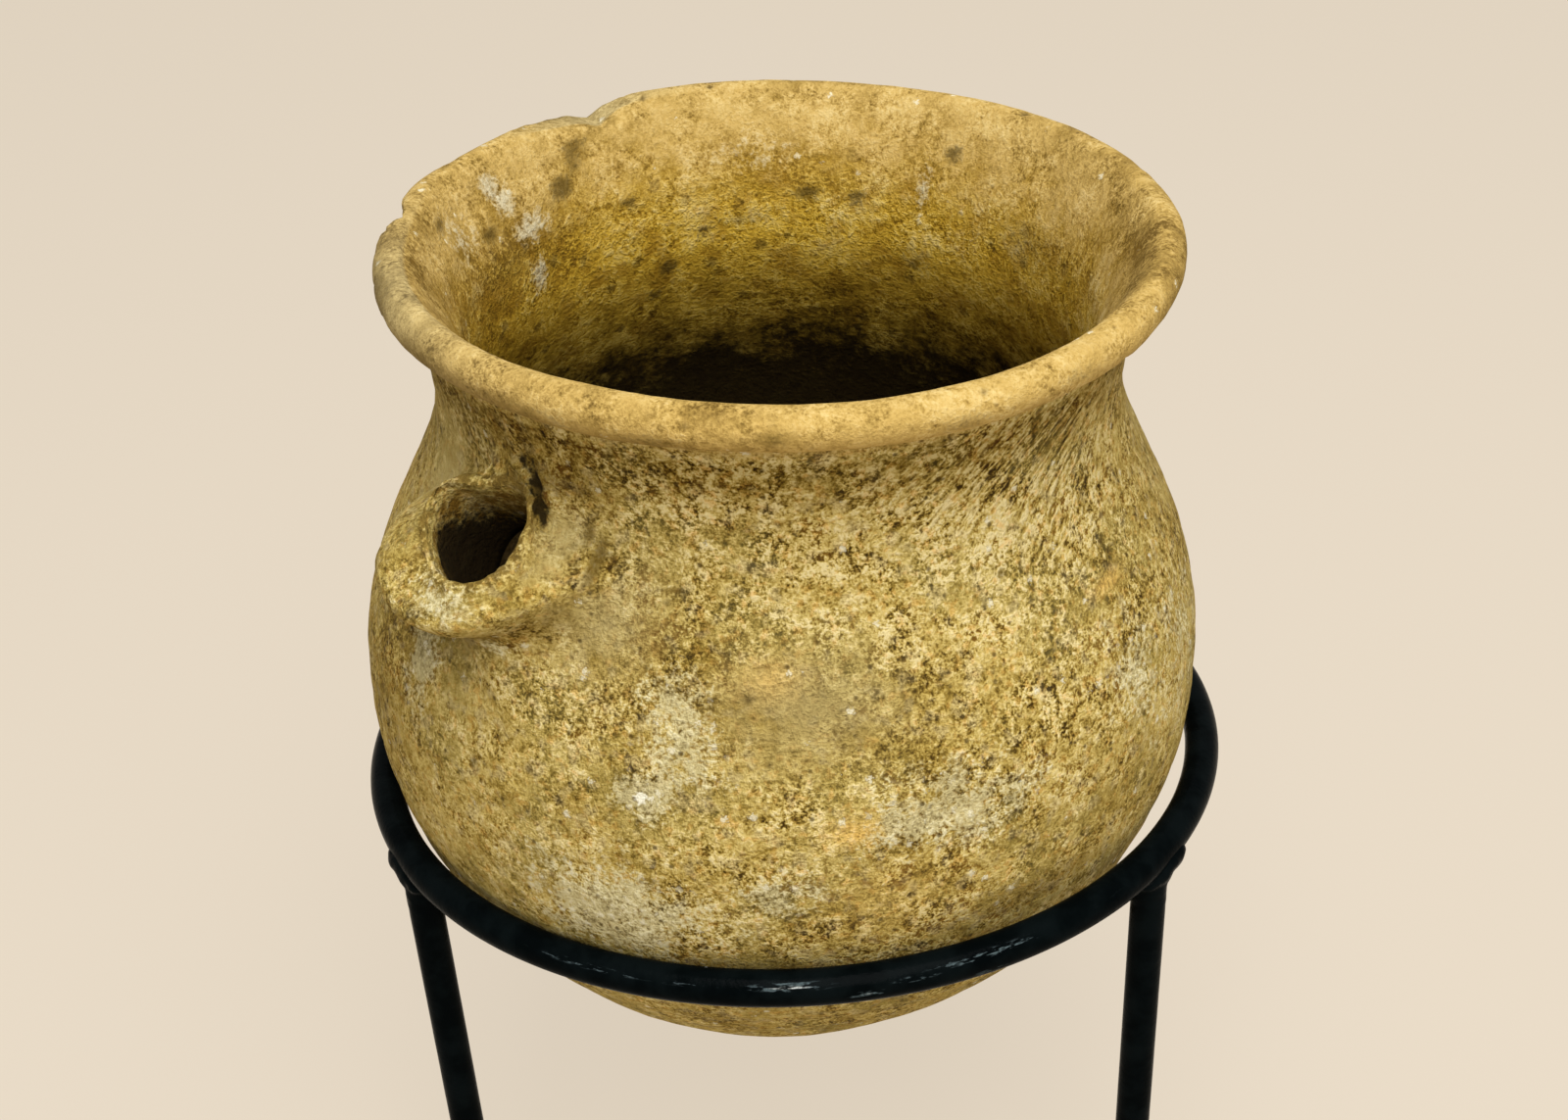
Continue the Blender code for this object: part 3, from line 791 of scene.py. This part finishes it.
def patches(points, places, join=np.maximum):
    """How strongly each point lies in soft patches."""
    radius, height, azimuth = even(points)
    strength = np.zeros(len(points))
    for middle, level, wide, tall, amount in places:
        off = turn_from(azimuth, radians(middle)) * radius * 1000
        reach = (off / wide) ** 2 + ((height * 1000 - level) / tall) ** 2
        strength = join(strength, amount * np.exp(-reach))
    return strength


def relief(points, faces, inside, broken):
    """The points with all fine relief, and how deep each lies in a pit or chip and in the crevice."""
    normals = normals_of(points, faces)
    _, height, _ = even(points)
    out = layered(points, LUMPS)
    wander = WHEEL_WANDER * waves(points, WHEEL_WANDER_SIZE, 21)
    mark = np.sin(2 * np.pi * height / WHEEL_MARK_SPACING + wander)
    marked = np.clip(waves(points, WHEEL_PATCH_SIZE, 22) + WHEEL_PATCH_SHARE, 0, 1)
    out += WHEEL_MARK_DEPTH * mark * marked * np.where(inside > 0.5, WHEEL_MARK_INSIDE, 1.0)
    out += broken * BREAK_ROUGHNESS * layered(points, BREAK_GRAINS)

    chance = np.random.default_rng(SEED)
    away = np.linalg.norm(points - SPOUT_ORIGIN, axis=-1)
    outside = np.flatnonzero((inside < 0.05) & (height > PIT_FREE_FOOT) & (away > PIT_FREE_STUB))
    spots = points[chance.choice(outside, PIT_COUNT, replace=False)]
    deep = pits(points, spots, chance.uniform(*PIT_SIZES, PIT_COUNT),
                chance.uniform(*PIT_DEPTHS, PIT_COUNT))
    whole = (broken < 0.01) & (height > LIP_CHIP_FOOT)
    lip = np.flatnonzero((inside > 0.02) & (inside < 0.95) & whole)
    chips = points[chance.choice(lip, LIP_CHIP_COUNT, replace=False)]
    chipped = pits(points, chips, chance.uniform(*CHIP_SIZES, LIP_CHIP_COUNT),
                   chance.uniform(*CHIP_DEPTHS, LIP_CHIP_COUNT))
    deep = np.maximum(deep, chipped)
    crack = crevice(points, inside)
    return points + normals * (out - deep - crack)[:, None], deep, crack / CREVICE_DEPTH


def used_only(points, faces, *values):
    """The points that a face uses, the faces over them, and the values at them."""
    used = np.zeros(len(points), dtype=bool)
    for face in faces:
        used[list(face)] = True
    place = np.cumsum(used) - 1
    faces = [tuple(int(place[v]) for v in face) for face in faces]
    return (points[used], faces, *(value[used] for value in values))


def closed_mesh(name, points, faces):
    """A mesh with its normals facing out."""
    mesh = bpy.data.meshes.new(name)
    mesh.from_pydata(points.tolist(), [], faces)
    shell = bmesh.new()
    shell.from_mesh(mesh)
    bmesh.ops.recalc_face_normals(shell, faces=shell.faces)
    shell.to_mesh(mesh)
    shell.free()
    return mesh


def link(name, data):
    """A new object in the scene with its data."""
    piece = bpy.data.objects.new(name, data)
    bpy.context.scene.collection.objects.link(piece)
    return piece


def shade_of(height, local):
    """Where the clay is darkened: by dirt and painted shade under the lip, and by painted shadow under
    the stub's collar.
    """
    under_lip = smooth(share_of(height, DIRT_AND_SHADE_FOOT, DIRT_AND_SHADE_FULL)) * (height < LIP_FOOT)
    below = np.exp(-((-local[:, 2] - COLLAR_SHADE_DEPTH) / COLLAR_SHADE_WIDTH) ** 2)
    below = below * smooth(share_of(off_axis(local), *COLLAR_SHADE_REACH))
    below = below * smooth(share_of(local[:, 0], 0, COLLAR_SHADE_FADE))
    return np.maximum(under_lip, COLLAR_SHADE_SHARE * below)


def keep_marks(mesh, marks):
    """Values at the points of a mesh, for its material."""
    for name, values in marks.items():
        attribute = mesh.attributes.new(name, "FLOAT", "POINT")
        attribute.data.foreach_set("value", np.ascontiguousarray(values, dtype=np.float32))


def build_jar():
    points, faces, inside, broken = used_only(*jar_mesh())
    points, bitten = wear_rim(points)
    broken = np.maximum(broken, bitten)
    points, deep, crack = relief(points, faces, inside, broken)
    mesh = closed_mesh("clay_jar", points, faces)
    mesh.shade_smooth()
    mesh.transform(JAR_POSE)
    placed = np.empty(len(points) * 3)
    mesh.vertices.foreach_get("co", placed)
    placed[2::3] = np.minimum(placed[2::3], cad_box[1][2] - BOX_GAP)
    mesh.vertices.foreach_set("co", placed)

    _, height, _ = even(points)
    local = in_stub(points)
    # Painted shade down the bore, from a share at its mouth to full further in
    upper = share_of(-local[:, 0], 0, BORE_RADIUS)
    near_stub = (off_axis(local) < BORE_REACH) & (local[:, 2] < BORE_RISE)
    shade_length = BORE_SHADE_LENGTH + (BORE_SHADE_LENGTH_ABOVE - BORE_SHADE_LENGTH) * upper
    shade_down_bore = BORE_SHADE_START + (1 - BORE_SHADE_START) * share_of(-local[:, 2], 0, shade_length)
    outer, inner = inside < 0.5, inside > 0.5
    lip_foot = LIP_FOOT - LIP_FOOT_DROP * inside
    lip_full = lip_foot + LIP_EDGE + (LIP_EDGE_INSIDE - LIP_EDGE) * inside
    keep_marks(mesh, {
        "inside": inside,
        "deep": share_of(deep, 0, PIT_SHADE_DEPTH),
        "crack": crack,
        "broken": broken,
        "level": height * 1000,
        "lip": smooth(share_of(height, lip_foot, lip_full)),
        "specked": patches(points, SPECKED) * outer,
        "limed": np.where(outer, patches(points, LIMED), patches(points, LIMED_INSIDE)),
        "greyed": patches(points, GREYED) * (inside < 0.95),
        "reddened": patches(points, REDDENED) * outer,
        "spotted": patches(points, SPOTTED_INSIDE) * inner,
        "stained": patches(points, STAINED) * (inside < 0.7),
        "toned": patches(points, TONED, np.add) + patches(points, TONED_INSIDE, np.add) * inner,
        "scraped": patches(points, SCRAPED) * (inside < 0.1),
        "bore": shade_down_bore * near_stub * (inside > 0.001),
        "shaded": shade_of(height, local) * outer,
    })
    return link("clay_jar", mesh)


# The stand

def build_ring():
    """The ring's round bar, a closed chain of rings of points."""
    turn = (2 * np.pi * np.arange(RING_COLUMNS) / RING_COLUMNS)[:, None]
    angle = (2 * np.pi * np.arange(BAR_SIDES) / BAR_SIDES)[None, :]
    half = BAR_DIAMETER / 2 - BAR_GAP
    reach = RING_RADIUS + half * np.cos(angle)
    z = RING_HEIGHT + half * np.sin(angle) + 0 * turn
    points = np.stack([reach * np.cos(turn), reach * np.sin(turn), z], axis=-1).reshape(-1, 3)
    faces = ring_faces(0, RING_COLUMNS, BAR_SIDES)
    last = (RING_COLUMNS - 1) * BAR_SIDES
    faces += [(last + i, last + (i + 1) % BAR_SIDES, (i + 1) % BAR_SIDES, i) for i in range(BAR_SIDES)]
    mesh = closed_mesh("ring_bar", points, faces)
    add_worn_and_highlights(mesh)
    mesh.shade_smooth()
    return link("ring_bar", mesh)


def add_worn_and_highlights(mesh):
    """Where the paint is worn and where highlights are painted, and the ways round the ring and round
    its bar in mm.
    """
    points = np.array([v.co for v in mesh.vertices])
    turn = np.degrees(np.arctan2(points[:, 1], points[:, 0])) % 360
    off_bar = np.hypot(points[:, 0], points[:, 1]) - RING_RADIUS
    angle = np.degrees(np.arctan2(points[:, 2] - RING_HEIGHT, off_bar))
    worn = np.zeros(len(points))
    for middle, level, wide, tall, amount in PAINT_WORN_AND_HIGHLIGHTS:
        reach = ((turn - middle) / wide) ** 2 + ((angle - level) / tall) ** 2
        worn = np.maximum(worn, amount * np.exp(-reach))
    keep_marks(mesh, {
        "worn": worn,
        "along": np.radians(turn) * RING_RADIUS * 1000,
        "around": np.radians(angle) * BAR_DIAMETER * 500,
    })


def ball_into(shell, middle, sizes):
    """A ball with three sizes of its own, added to a mesh under work."""
    ball = bmesh.ops.create_uvsphere(
        shell, u_segments=BALL_SIDES, v_segments=BALL_ROWS, radius=0.5)["verts"]
    bmesh.ops.scale(shell, vec=sizes, verts=ball)
    bmesh.ops.translate(shell, vec=middle, verts=ball)


def build_leg(side, azimuth):
    """A bar from the floor to the ring's underside, with the lumps of its weld, melted into one."""
    away = -1 if side == "right" else 1
    top = RING_HEIGHT - BAR_DIAMETER / 4
    shell = bmesh.new()
    bar = bmesh.ops.create_cone(shell, cap_ends=True, segments=BAR_SIDES, radius1=BAR_DIAMETER / 2,
                                radius2=BAR_DIAMETER / 2, depth=top)["verts"]
    bmesh.ops.translate(shell, vec=(RING_RADIUS, 0, top / 2), verts=bar)
    for v in bar:
        v.co.x -= (RING_HEIGHT - v.co.z) * math.tan(LEG_LEAN)
    for (out, aside, up), sizes in WELD_LUMPS:
        ball_into(shell, (RING_RADIUS + out, aside * away, RING_HEIGHT + up), sizes)
    mesh = bpy.data.meshes.new("leg_bar_" + side)
    shell.to_mesh(mesh)
    shell.free()
    leg = link("leg_bar_" + side, mesh)
    melt = leg.modifiers.new("melt", "REMESH")
    melt.mode = "VOXEL"
    melt.voxel_size = WELD_VOXEL
    soften = leg.modifiers.new("soften", "SMOOTH")
    soften.iterations = WELD_SMOOTHING
    fresh = bpy.data.meshes.new_from_object(leg.evaluated_get(bpy.context.evaluated_depsgraph_get()))
    leg.modifiers.clear()
    leg.data = fresh
    fresh.name = "leg_bar_" + side
    bpy.data.meshes.remove(mesh)
    points = np.array([v.co for v in fresh.vertices])
    normals = np.array([v.vector for v in fresh.vertex_normals])
    near = share_of(points[:, 2], WELD_FOOT, WELD_FULL)
    rough = WELD_ROUGHNESS * near * waves(points, WELD_GRAIN, 31 + len(side))
    points += normals * rough[:, None]
    points[:, 2] = np.maximum(points[:, 2], 0.0)
    fresh.vertices.foreach_set("co", points.ravel())
    fresh.transform(Matrix.Rotation(azimuth, 4, "Z"))
    fresh.shade_smooth()
    return leg


# Materials

class Graph:
    """The nodes of one material, put together by plain function calls."""

    def __init__(self, name):
        self.material = bpy.data.materials.new(name)
        self.material.use_nodes = True
        self.tree = self.material.node_tree
        self.colour = None
        self.place = self.scaled(self.node("ShaderNodeTexCoord").outputs["Object"], 1000.0)

    def put(self, inputs, values):
        """Link inputs to sockets, or set their own values."""
        for name, value in values.items():
            if isinstance(value, bpy.types.NodeSocket):
                self.tree.links.new(value, inputs[name])
            elif inputs[name].type == "RGBA":
                inputs[name].default_value = (*value, 1)
            else:
                inputs[name].default_value = value

    def node(self, kind, values=None, **settings):
        """A new node, with values for its inputs and settings of its own."""
        node = self.tree.nodes.new(kind)
        for name, value in settings.items():
            setattr(node, name, value)
        self.put(node.inputs, values or {})
        return node

    def done(self, values):
        """The material, with values for its shader."""
        self.put(self.tree.nodes["Principled BSDF"].inputs, values)
        return self.material

    def math(self, operation, first, second):
        return self.node("ShaderNodeMath", {0: first, 1: second}, operation=operation).outputs[0]

    def times(self, *values):
        return functools.reduce(lambda one, other: self.math("MULTIPLY", one, other), values)

    def add(self, *values):
        return functools.reduce(lambda one, other: self.math("ADD", one, other), values)

    def vector(self, operation, values):
        return self.node("ShaderNodeVectorMath", values, operation=operation)

    def scaled(self, vector, size):
        return self.vector("SCALE", {0: vector, "Scale": size}).outputs[0]

    def mark(self, name):
        return self.node("ShaderNodeAttribute", attribute_name=name).outputs["Fac"]

    def drawn_out(self, direction, share):
        """The place squeezed to a share along a direction, so that noise over it is drawn out there."""
        along = self.vector("DOT_PRODUCT", {0: self.place, 1: direction}).outputs["Value"]
        squeezed = self.scaled(direction, self.times(along, 1 - share))
        return self.vector("SUBTRACT", {0: self.place, 1: squeezed}).outputs[0]

    def grain(self, size, detail=2.0, roughness=0.5, place=None, warp=0.0):
        """Noise around 0.5 with lumps of a size in millimetres."""
        values = {"Vector": place or self.place, "Scale": 1.0 / size, "Detail": detail,
                  "Roughness": roughness, "Distortion": warp}
        return self.node("ShaderNodeTexNoise", values).outputs["Fac"]

    def swing(self, value, amount=1.0):
        """How far noise is off its middle, times an amount."""
        return self.times(self.math("SUBTRACT", value, 0.5), amount)

    def cells(self, size):
        """Distance from, and a random value of, scattered cells of a size in millimetres."""
        node = self.node("ShaderNodeTexVoronoi", {"Vector": self.place, "Scale": 1.0 / size})
        split = self.node("ShaderNodeSeparateColor", {0: node.outputs["Color"]})
        return node.outputs["Distance"], split.outputs[0]

    def fade(self, value, low, high, start=0.0, end=1.0):
        """The value's way from low to high, smoothly from start to end."""
        values = {"Value": value, "From Min": low, "From Max": high, "To Min": start, "To Max": end}
        return self.node("ShaderNodeMapRange", values, interpolation_type="SMOOTHSTEP").outputs["Result"]

    def blotch(self, mark, noise, edge, reach, amount=1.0):
        """How strongly a mark shows: ragged by noise at its edge, and nothing away from it."""
        ragged = self.fade(self.add(mark, noise), *edge)
        return self.times(ragged, self.fade(mark, *reach), amount)

    def mix(self, share, first, second, blend="MIX"):
        node = self.node("ShaderNodeMix", data_type="RGBA", blend_type=blend)
        sockets = {socket.identifier: socket for socket in node.inputs}
        self.put(sockets, {"Factor_Float": share, "A_Color": first, "B_Color": second})
        return next(socket for socket in node.outputs if socket.identifier == "Result_Color")

    def coat(self, share, tint, blend="MIX"):
        """Lay a tint over the colour so far."""
        self.colour = self.mix(share, self.colour, tint, blend)

    def ramp(self, value, stops):
        """A colour for each value, blended between stops."""
        node = self.node("ShaderNodeValToRGB", {"Fac": value})
        band = node.color_ramp.elements
        for place, _ in stops[2:]:
            band.new(place)
        for element, (place, colour) in zip(band, stops):
            element.position = place
            element.color = (*colour, 1)
        return node.outputs["Color"]

    def bump(self, height, distance):
        return self.node("ShaderNodeBump", {"Distance": distance, "Height": height}).outputs["Normal"]


def clay_material():
    g = Graph("clay")
    inside, level, lip = g.mark("inside"), g.mark("level"), g.mark("lip")
    specked, limed, greyed = g.mark("specked"), g.mark("limed"), g.mark("greyed")
    deep, broken, bore = g.mark("deep"), g.mark("broken"), g.mark("bore")
    grit = g.grain(0.42, 2.0, 0.6)
    fine = g.grain(0.8, 3.0, 0.65)
    mottle = g.grain(2.2, 3.0, 0.6)
    cloud = g.grain(9.0, 3.0, 0.55)
    broad = g.grain(30.0, 2.0, 0.5)

    # Strokes scraped over the shoulder
    fibre = g.grain(0.9, 2.0, 0.5, g.drawn_out(SCRAPE_DIRECTION, SCRAPE_SQUEEZE), 0.3)
    strokes = g.times(g.fade(g.mark("scraped"), 0.1, 0.8), g.swing(fibre))

    # One tone from grains of several sizes, with more contrast where the clay is specked
    tone = g.add(g.swing(grit, 1.3), g.swing(fine, 2.0), g.swing(mottle, 1.6))
    calm = g.math("MAXIMUM", g.times(greyed, 0.55), g.times(lip, 0.25))
    contrast = g.math("SUBTRACT", g.add(g.times(specked, 0.68), 0.62), calm)
    contrast = g.add(contrast, g.times(inside, 0.18))
    contrast = g.times(contrast, g.fade(g.grain(5.5, 2.0), 0.38, 0.62, 0.6, 1.35))
    clouded = g.swing(cloud, g.fade(inside, 0.0, 1.0, 0.6, 1.1))
    tone = g.add(g.times(tone, contrast), clouded, g.times(strokes, 2.4), g.swing(broad, 0.35), 0.52,
                 g.times(specked, 0.06), g.mark("toned"))
    g.colour = g.ramp(tone, (
        (0.0, (0.045, 0.025, 0.004)), (0.2, (0.115, 0.068, 0.01)), (0.38, (0.26, 0.172, 0.03)),
        (0.55, (0.43, 0.308, 0.078)), (0.78, (0.6, 0.462, 0.16)), (1.0, (0.7, 0.58, 0.285))))
    rusty = g.times(g.fade(cloud, 0.5, 0.66), g.fade(tone, 0.55, 0.25), 0.7)
    g.coat(rusty, (0.19, 0.085, 0.012))
    olive_share = g.times(g.fade(g.grain(14.0, 3.0), 0.46, 0.62), g.fade(tone, 0.95, 0.5), 0.3)
    g.coat(olive_share, (0.26, 0.215, 0.06))
    warm = g.times(g.fade(g.grain(1.5, 2.0), 0.54, 0.68), 0.4)
    g.coat(warm, (0.55, 0.27, 0.035), "COLOR")
    cool = g.times(g.fade(g.grain(2.6, 3.0), 0.52, 0.66), 0.4)
    g.coat(cool, (0.42, 0.34, 0.17), "COLOR")
    red_share = g.times(g.mark("reddened"), g.fade(fine, 0.35, 0.6, 0.45, 1.0))
    g.coat(red_share, (0.74, 0.46, 0.12))

    # Grey patches, lime crust and its whitest chips
    grey_share = g.times(greyed, g.fade(cloud, 0.3, 0.55), 0.75)
    g.coat(grey_share, g.ramp(tone, (
        (0.15, (0.17, 0.125, 0.04)), (0.6, (0.4, 0.315, 0.125)), (0.95, (0.52, 0.43, 0.21)))))
    crusty = g.add(g.swing(g.grain(5.0, 4.0, 0.62), 1.6), g.swing(fine, 1.7))
    lime_share = g.blotch(limed, crusty, (0.3, 0.72), (0.03, 0.2), 0.85)
    g.coat(lime_share, g.ramp(tone, (
        (0.1, (0.23, 0.18, 0.07)), (0.55, (0.52, 0.445, 0.225)), (0.95, (0.7, 0.64, 0.4)))))
    white = g.fade(g.add(limed, g.swing(fine, 1.2)), 0.95, 1.25)
    g.coat(white, (0.8, 0.76, 0.6))

    # The lip, smoother and lighter, and greyer where it is marked
    g.coat(g.times(lip, 0.9), g.ramp(tone, (
        (0.1, (0.15, 0.088, 0.018)), (0.35, (0.32, 0.205, 0.052)), (0.6, (0.48, 0.318, 0.094)),
        (0.95, (0.59, 0.43, 0.165)))))
    g.coat(g.times(greyed, lip, 0.6), (0.42, 0.36, 0.19), "COLOR")

    # Dark dots, and pale crumbs that crowd in the lime
    dots, chance = g.cells(2.4)
    dot = g.times(g.fade(dots, 0.24, 0.08), g.fade(chance, 0.8, 0.84))
    dot = g.times(dot, g.fade(lip, 0.0, 1.0, 0.75, 0.25))
    g.coat(dot, (0.055, 0.032, 0.008))
    crumbs, which = g.cells(2.2)
    many = g.times(g.fade(limed, 0.1, 0.6), g.fade(which, 0.5, 0.55))
    crumb = g.times(g.fade(g.add(crumbs, g.swing(grit, 0.9)), 0.3, 0.16),
                    g.math("MAXIMUM", g.fade(which, 0.955, 0.96), many))
    g.coat(g.times(crumb, 0.75), (0.74, 0.68, 0.48))

    # Dirt and painted shade under the lip, and painted shadow below the stub's collar
    shaded = g.fade(g.add(mottle, g.swing(fine, 1.2)), 0.25, 0.72, 1.0, 0.45)
    g.coat(g.times(g.mark("shaded"), shaded), (0.44, 0.37, 0.17), "MULTIPLY")

    # Inside: yellow-olive below the rim, with dark round spots and lime, and painted shade towards the
    # floor
    spotted = g.blotch(g.mark("spotted"), g.swing(fine, 1.1), (0.25, 0.8), (0.04, 0.4), 0.85)
    g.coat(spotted, (0.1, 0.062, 0.012))
    olive = g.ramp(tone, (
        (0.02, (0.2, 0.11, 0.01)), (0.3, (0.4, 0.236, 0.018)), (0.6, (0.59, 0.372, 0.038)),
        (0.95, (0.7, 0.49, 0.095))))
    russet = g.times(g.fade(g.grain(6.0, 3.0, 0.6), 0.5, 0.64), 0.55)
    olive = g.mix(russet, olive, (0.3, 0.16, 0.012))
    spots, some = g.cells(4.6)
    spot = g.times(g.fade(g.add(spots, g.swing(fine, 0.8)), 0.34, 0.14), g.fade(some, 0.62, 0.66))
    olive = g.mix(g.times(spot, 0.6), olive, (0.085, 0.052, 0.01))
    olive = g.mix(spotted, olive, (0.075, 0.045, 0.008))
    wavering = g.add(level, g.swing(cloud, 26.0), g.swing(mottle, 16.0), g.swing(fine, 9.0))
    within = g.times(g.fade(inside, 0.6, 1.0), g.fade(wavering, 148, 122))
    g.coat(within, olive)
    streaked = g.add(g.swing(mottle, 1.6), g.swing(fine, 1.6))
    limed_inside = g.times(inside, g.blotch(limed, streaked, (0.2, 1.0), (0.03, 0.3), 0.72))
    g.coat(limed_inside, (0.6, 0.55, 0.38))

    # Painted shade down the bore, brown at its mouth and near black further in, and inside the jar below
    # the neck, browner near its floor
    ragged = g.add(bore, g.swing(fine, 0.8))
    browned = g.times(g.fade(bore, 0.02, 0.1), g.fade(ragged, -0.08, 0.2),
                      g.fade(mottle, 0.4, 0.62, 1.0, 0.45))
    g.coat(browned, (0.14, 0.073, 0.009))
    painted_shade_deep = g.times(g.fade(inside, 0.5, 0.9), g.fade(wavering, 117, 91))
    painted_shade_deep = g.math("MAXIMUM", painted_shade_deep, g.fade(ragged, 0.26, 0.66))
    paler_near_floor = g.times(g.fade(level, 82, 50), g.fade(mottle, 0.3, 0.62, 0.4, 1.0))
    painted_shade_colour = g.mix(paler_near_floor, (0.01, 0.006, 0.002), (0.085, 0.054, 0.02))
    g.coat(g.times(painted_shade_deep, 0.98), painted_shade_colour)

    # Stains, dirt and painted shade in the crevice, painted shade in pits and chips, and dirt on breaks
    stained = g.blotch(g.mark("stained"), g.swing(fine, 1.2), (0.2, 0.85), (0.02, 0.4), 0.8)
    g.coat(stained, (0.12, 0.074, 0.013))
    crumbly = g.swing(g.grain(1.6, 3.0, 0.6), 1.5)
    crevice_dirt_and_shade = g.blotch(g.mark("crack"), crumbly, (0.18, 0.56), (0.04, 0.22), 0.97)
    g.coat(crevice_dirt_and_shade, (0.015, 0.009, 0.002))
    g.coat(g.times(g.fade(deep, 0.3, 1.0), 0.8), (0.07, 0.042, 0.01))
    grimy = g.times(broken, g.fade(g.add(mottle, g.swing(fine)), 0.38, 0.66, 0.8, 0.0))
    g.coat(grimy, (0.165, 0.104, 0.022))

    height = g.add(g.swing(grit, 0.8), g.swing(fine, 1.6), g.swing(mottle, 1.5),
                   g.times(strokes, 2.0), g.times(crumb, 0.3), g.times(dot, -0.35))
    return g.done({
        "Base Color": g.colour,
        "Roughness": g.fade(cloud, 0.3, 0.7, 0.78, 0.96),
        "Specular IOR Level": 0.06,
        "Normal": g.bump(height, g.fade(lip, 0.2, 1.0, 0.00045, 0.00022)),
    })


def iron_material():
    g = Graph("black_iron")
    cloud = g.grain(7.0, 3.0, 0.6)
    fine = g.grain(0.7, 3.0, 0.6)
    g.colour = g.mix(g.fade(cloud, 0.35, 0.65), (0.0009, 0.0017, 0.0019), (0.0024, 0.004, 0.0043))

    # Worn streaks and painted highlight lines along the bar, and a few chips down to the pale metal
    ways = {0: g.times(g.mark("along"), 0.28), 1: g.times(g.mark("around"), 1.6)}
    streak = g.grain(1.0, 3.0, 0.6, g.node("ShaderNodeCombineXYZ", ways).outputs[0])
    worn = g.mark("worn")
    scuff_and_highlight = g.fade(g.add(streak, g.times(worn, 0.14)), 0.56, 0.64)
    scuff_and_highlight = g.times(scuff_and_highlight, g.fade(worn, 0.08, 0.4))
    worn_and_highlight_colour = g.mix(g.fade(worn, 0.55, 0.9), (0.066, 0.092, 0.098), (0.52, 0.54, 0.52))
    g.coat(g.times(scuff_and_highlight, g.fade(fine, 0.35, 0.6, 0.35, 1.0)), worn_and_highlight_colour)
    chips, chance = g.cells(2.2)
    chip = g.times(g.fade(chips, 0.14, 0.06), g.fade(chance, 0.93, 0.95))
    g.coat(g.times(chip, 0.8), (0.45, 0.45, 0.42))
    return g.done({
        "Base Color": g.colour,
        "Roughness": g.add(g.fade(cloud, 0.3, 0.7, 0.17, 0.28), g.times(scuff_and_highlight, 0.2)),
        "Specular IOR Level": 0.01,
        "Normal": g.bump(g.add(g.times(fine, 0.4), cloud), 0.00015),
    })


def build_camera():
    camera = bpy.data.cameras.new("camera")
    camera.sensor_width = SENSOR_MM
    camera.lens = FOCAL_LENGTH_MM
    holder = link("camera", camera)
    holder.matrix_world = (
        Matrix.Translation(CAMERA_PLACE)
        @ Matrix.Rotation(math.pi / 2 + CAMERA_PITCH, 4, "X")
        @ Matrix.Rotation(CAMERA_ROLL, 4, "Z")
    )
    bpy.context.scene.camera = holder


def build_stage():
    """A plain pale floor under soft, pale light."""
    mesh = bpy.data.meshes.new("floor")
    corners = [(x * FLOOR_HALF, y * FLOOR_HALF, 0) for x, y in ((-1, -1), (1, -1), (1, 1), (-1, 1))]
    mesh.from_pydata(corners, [], [(0, 1, 2, 3)])
    floor = link("floor", mesh)
    mesh.materials.append(Graph("floor_pale").done({
        "Base Color": FLOOR_COLOUR,
        "Roughness": 0.9,
        "Specular IOR Level": 0.0,
        "Emission Color": FLOOR_GLOW,
        "Emission Strength": FLOOR_GLOW_STRENGTH,
    }))

    world = bpy.data.worlds.new("studio")
    world.use_nodes = True
    back = world.node_tree.nodes["Background"].inputs
    back["Color"].default_value = (*SKY_COLOUR, 1)
    back["Strength"].default_value = SKY_STRENGTH
    bpy.context.scene.world = world

    for name, (energy, size, place, tilt) in LAMPS.items():
        light = bpy.data.lights.new(name, "AREA")
        light.energy = energy
        light.size = size
        turned = Matrix.Rotation(radians(tilt), 4, "X")
        link(name, light).matrix_world = Matrix.Translation(place) @ turned


build_camera()
build_stage()
jar = build_jar()
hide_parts("jar")
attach(jar, "root")
jar.data.materials.append(clay_material())
iron = iron_material()
stand = {"stand_ring": build_ring()}
for side, azimuth in LEG_AZIMUTHS.items():
    stand["stand_leg_" + side] = build_leg(side, azimuth)
for node, piece in stand.items():
    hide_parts(node)
    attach(piece, "root")
    piece.data.materials.append(iron)
bpy.context.scene.view_settings.view_transform = "Standard"
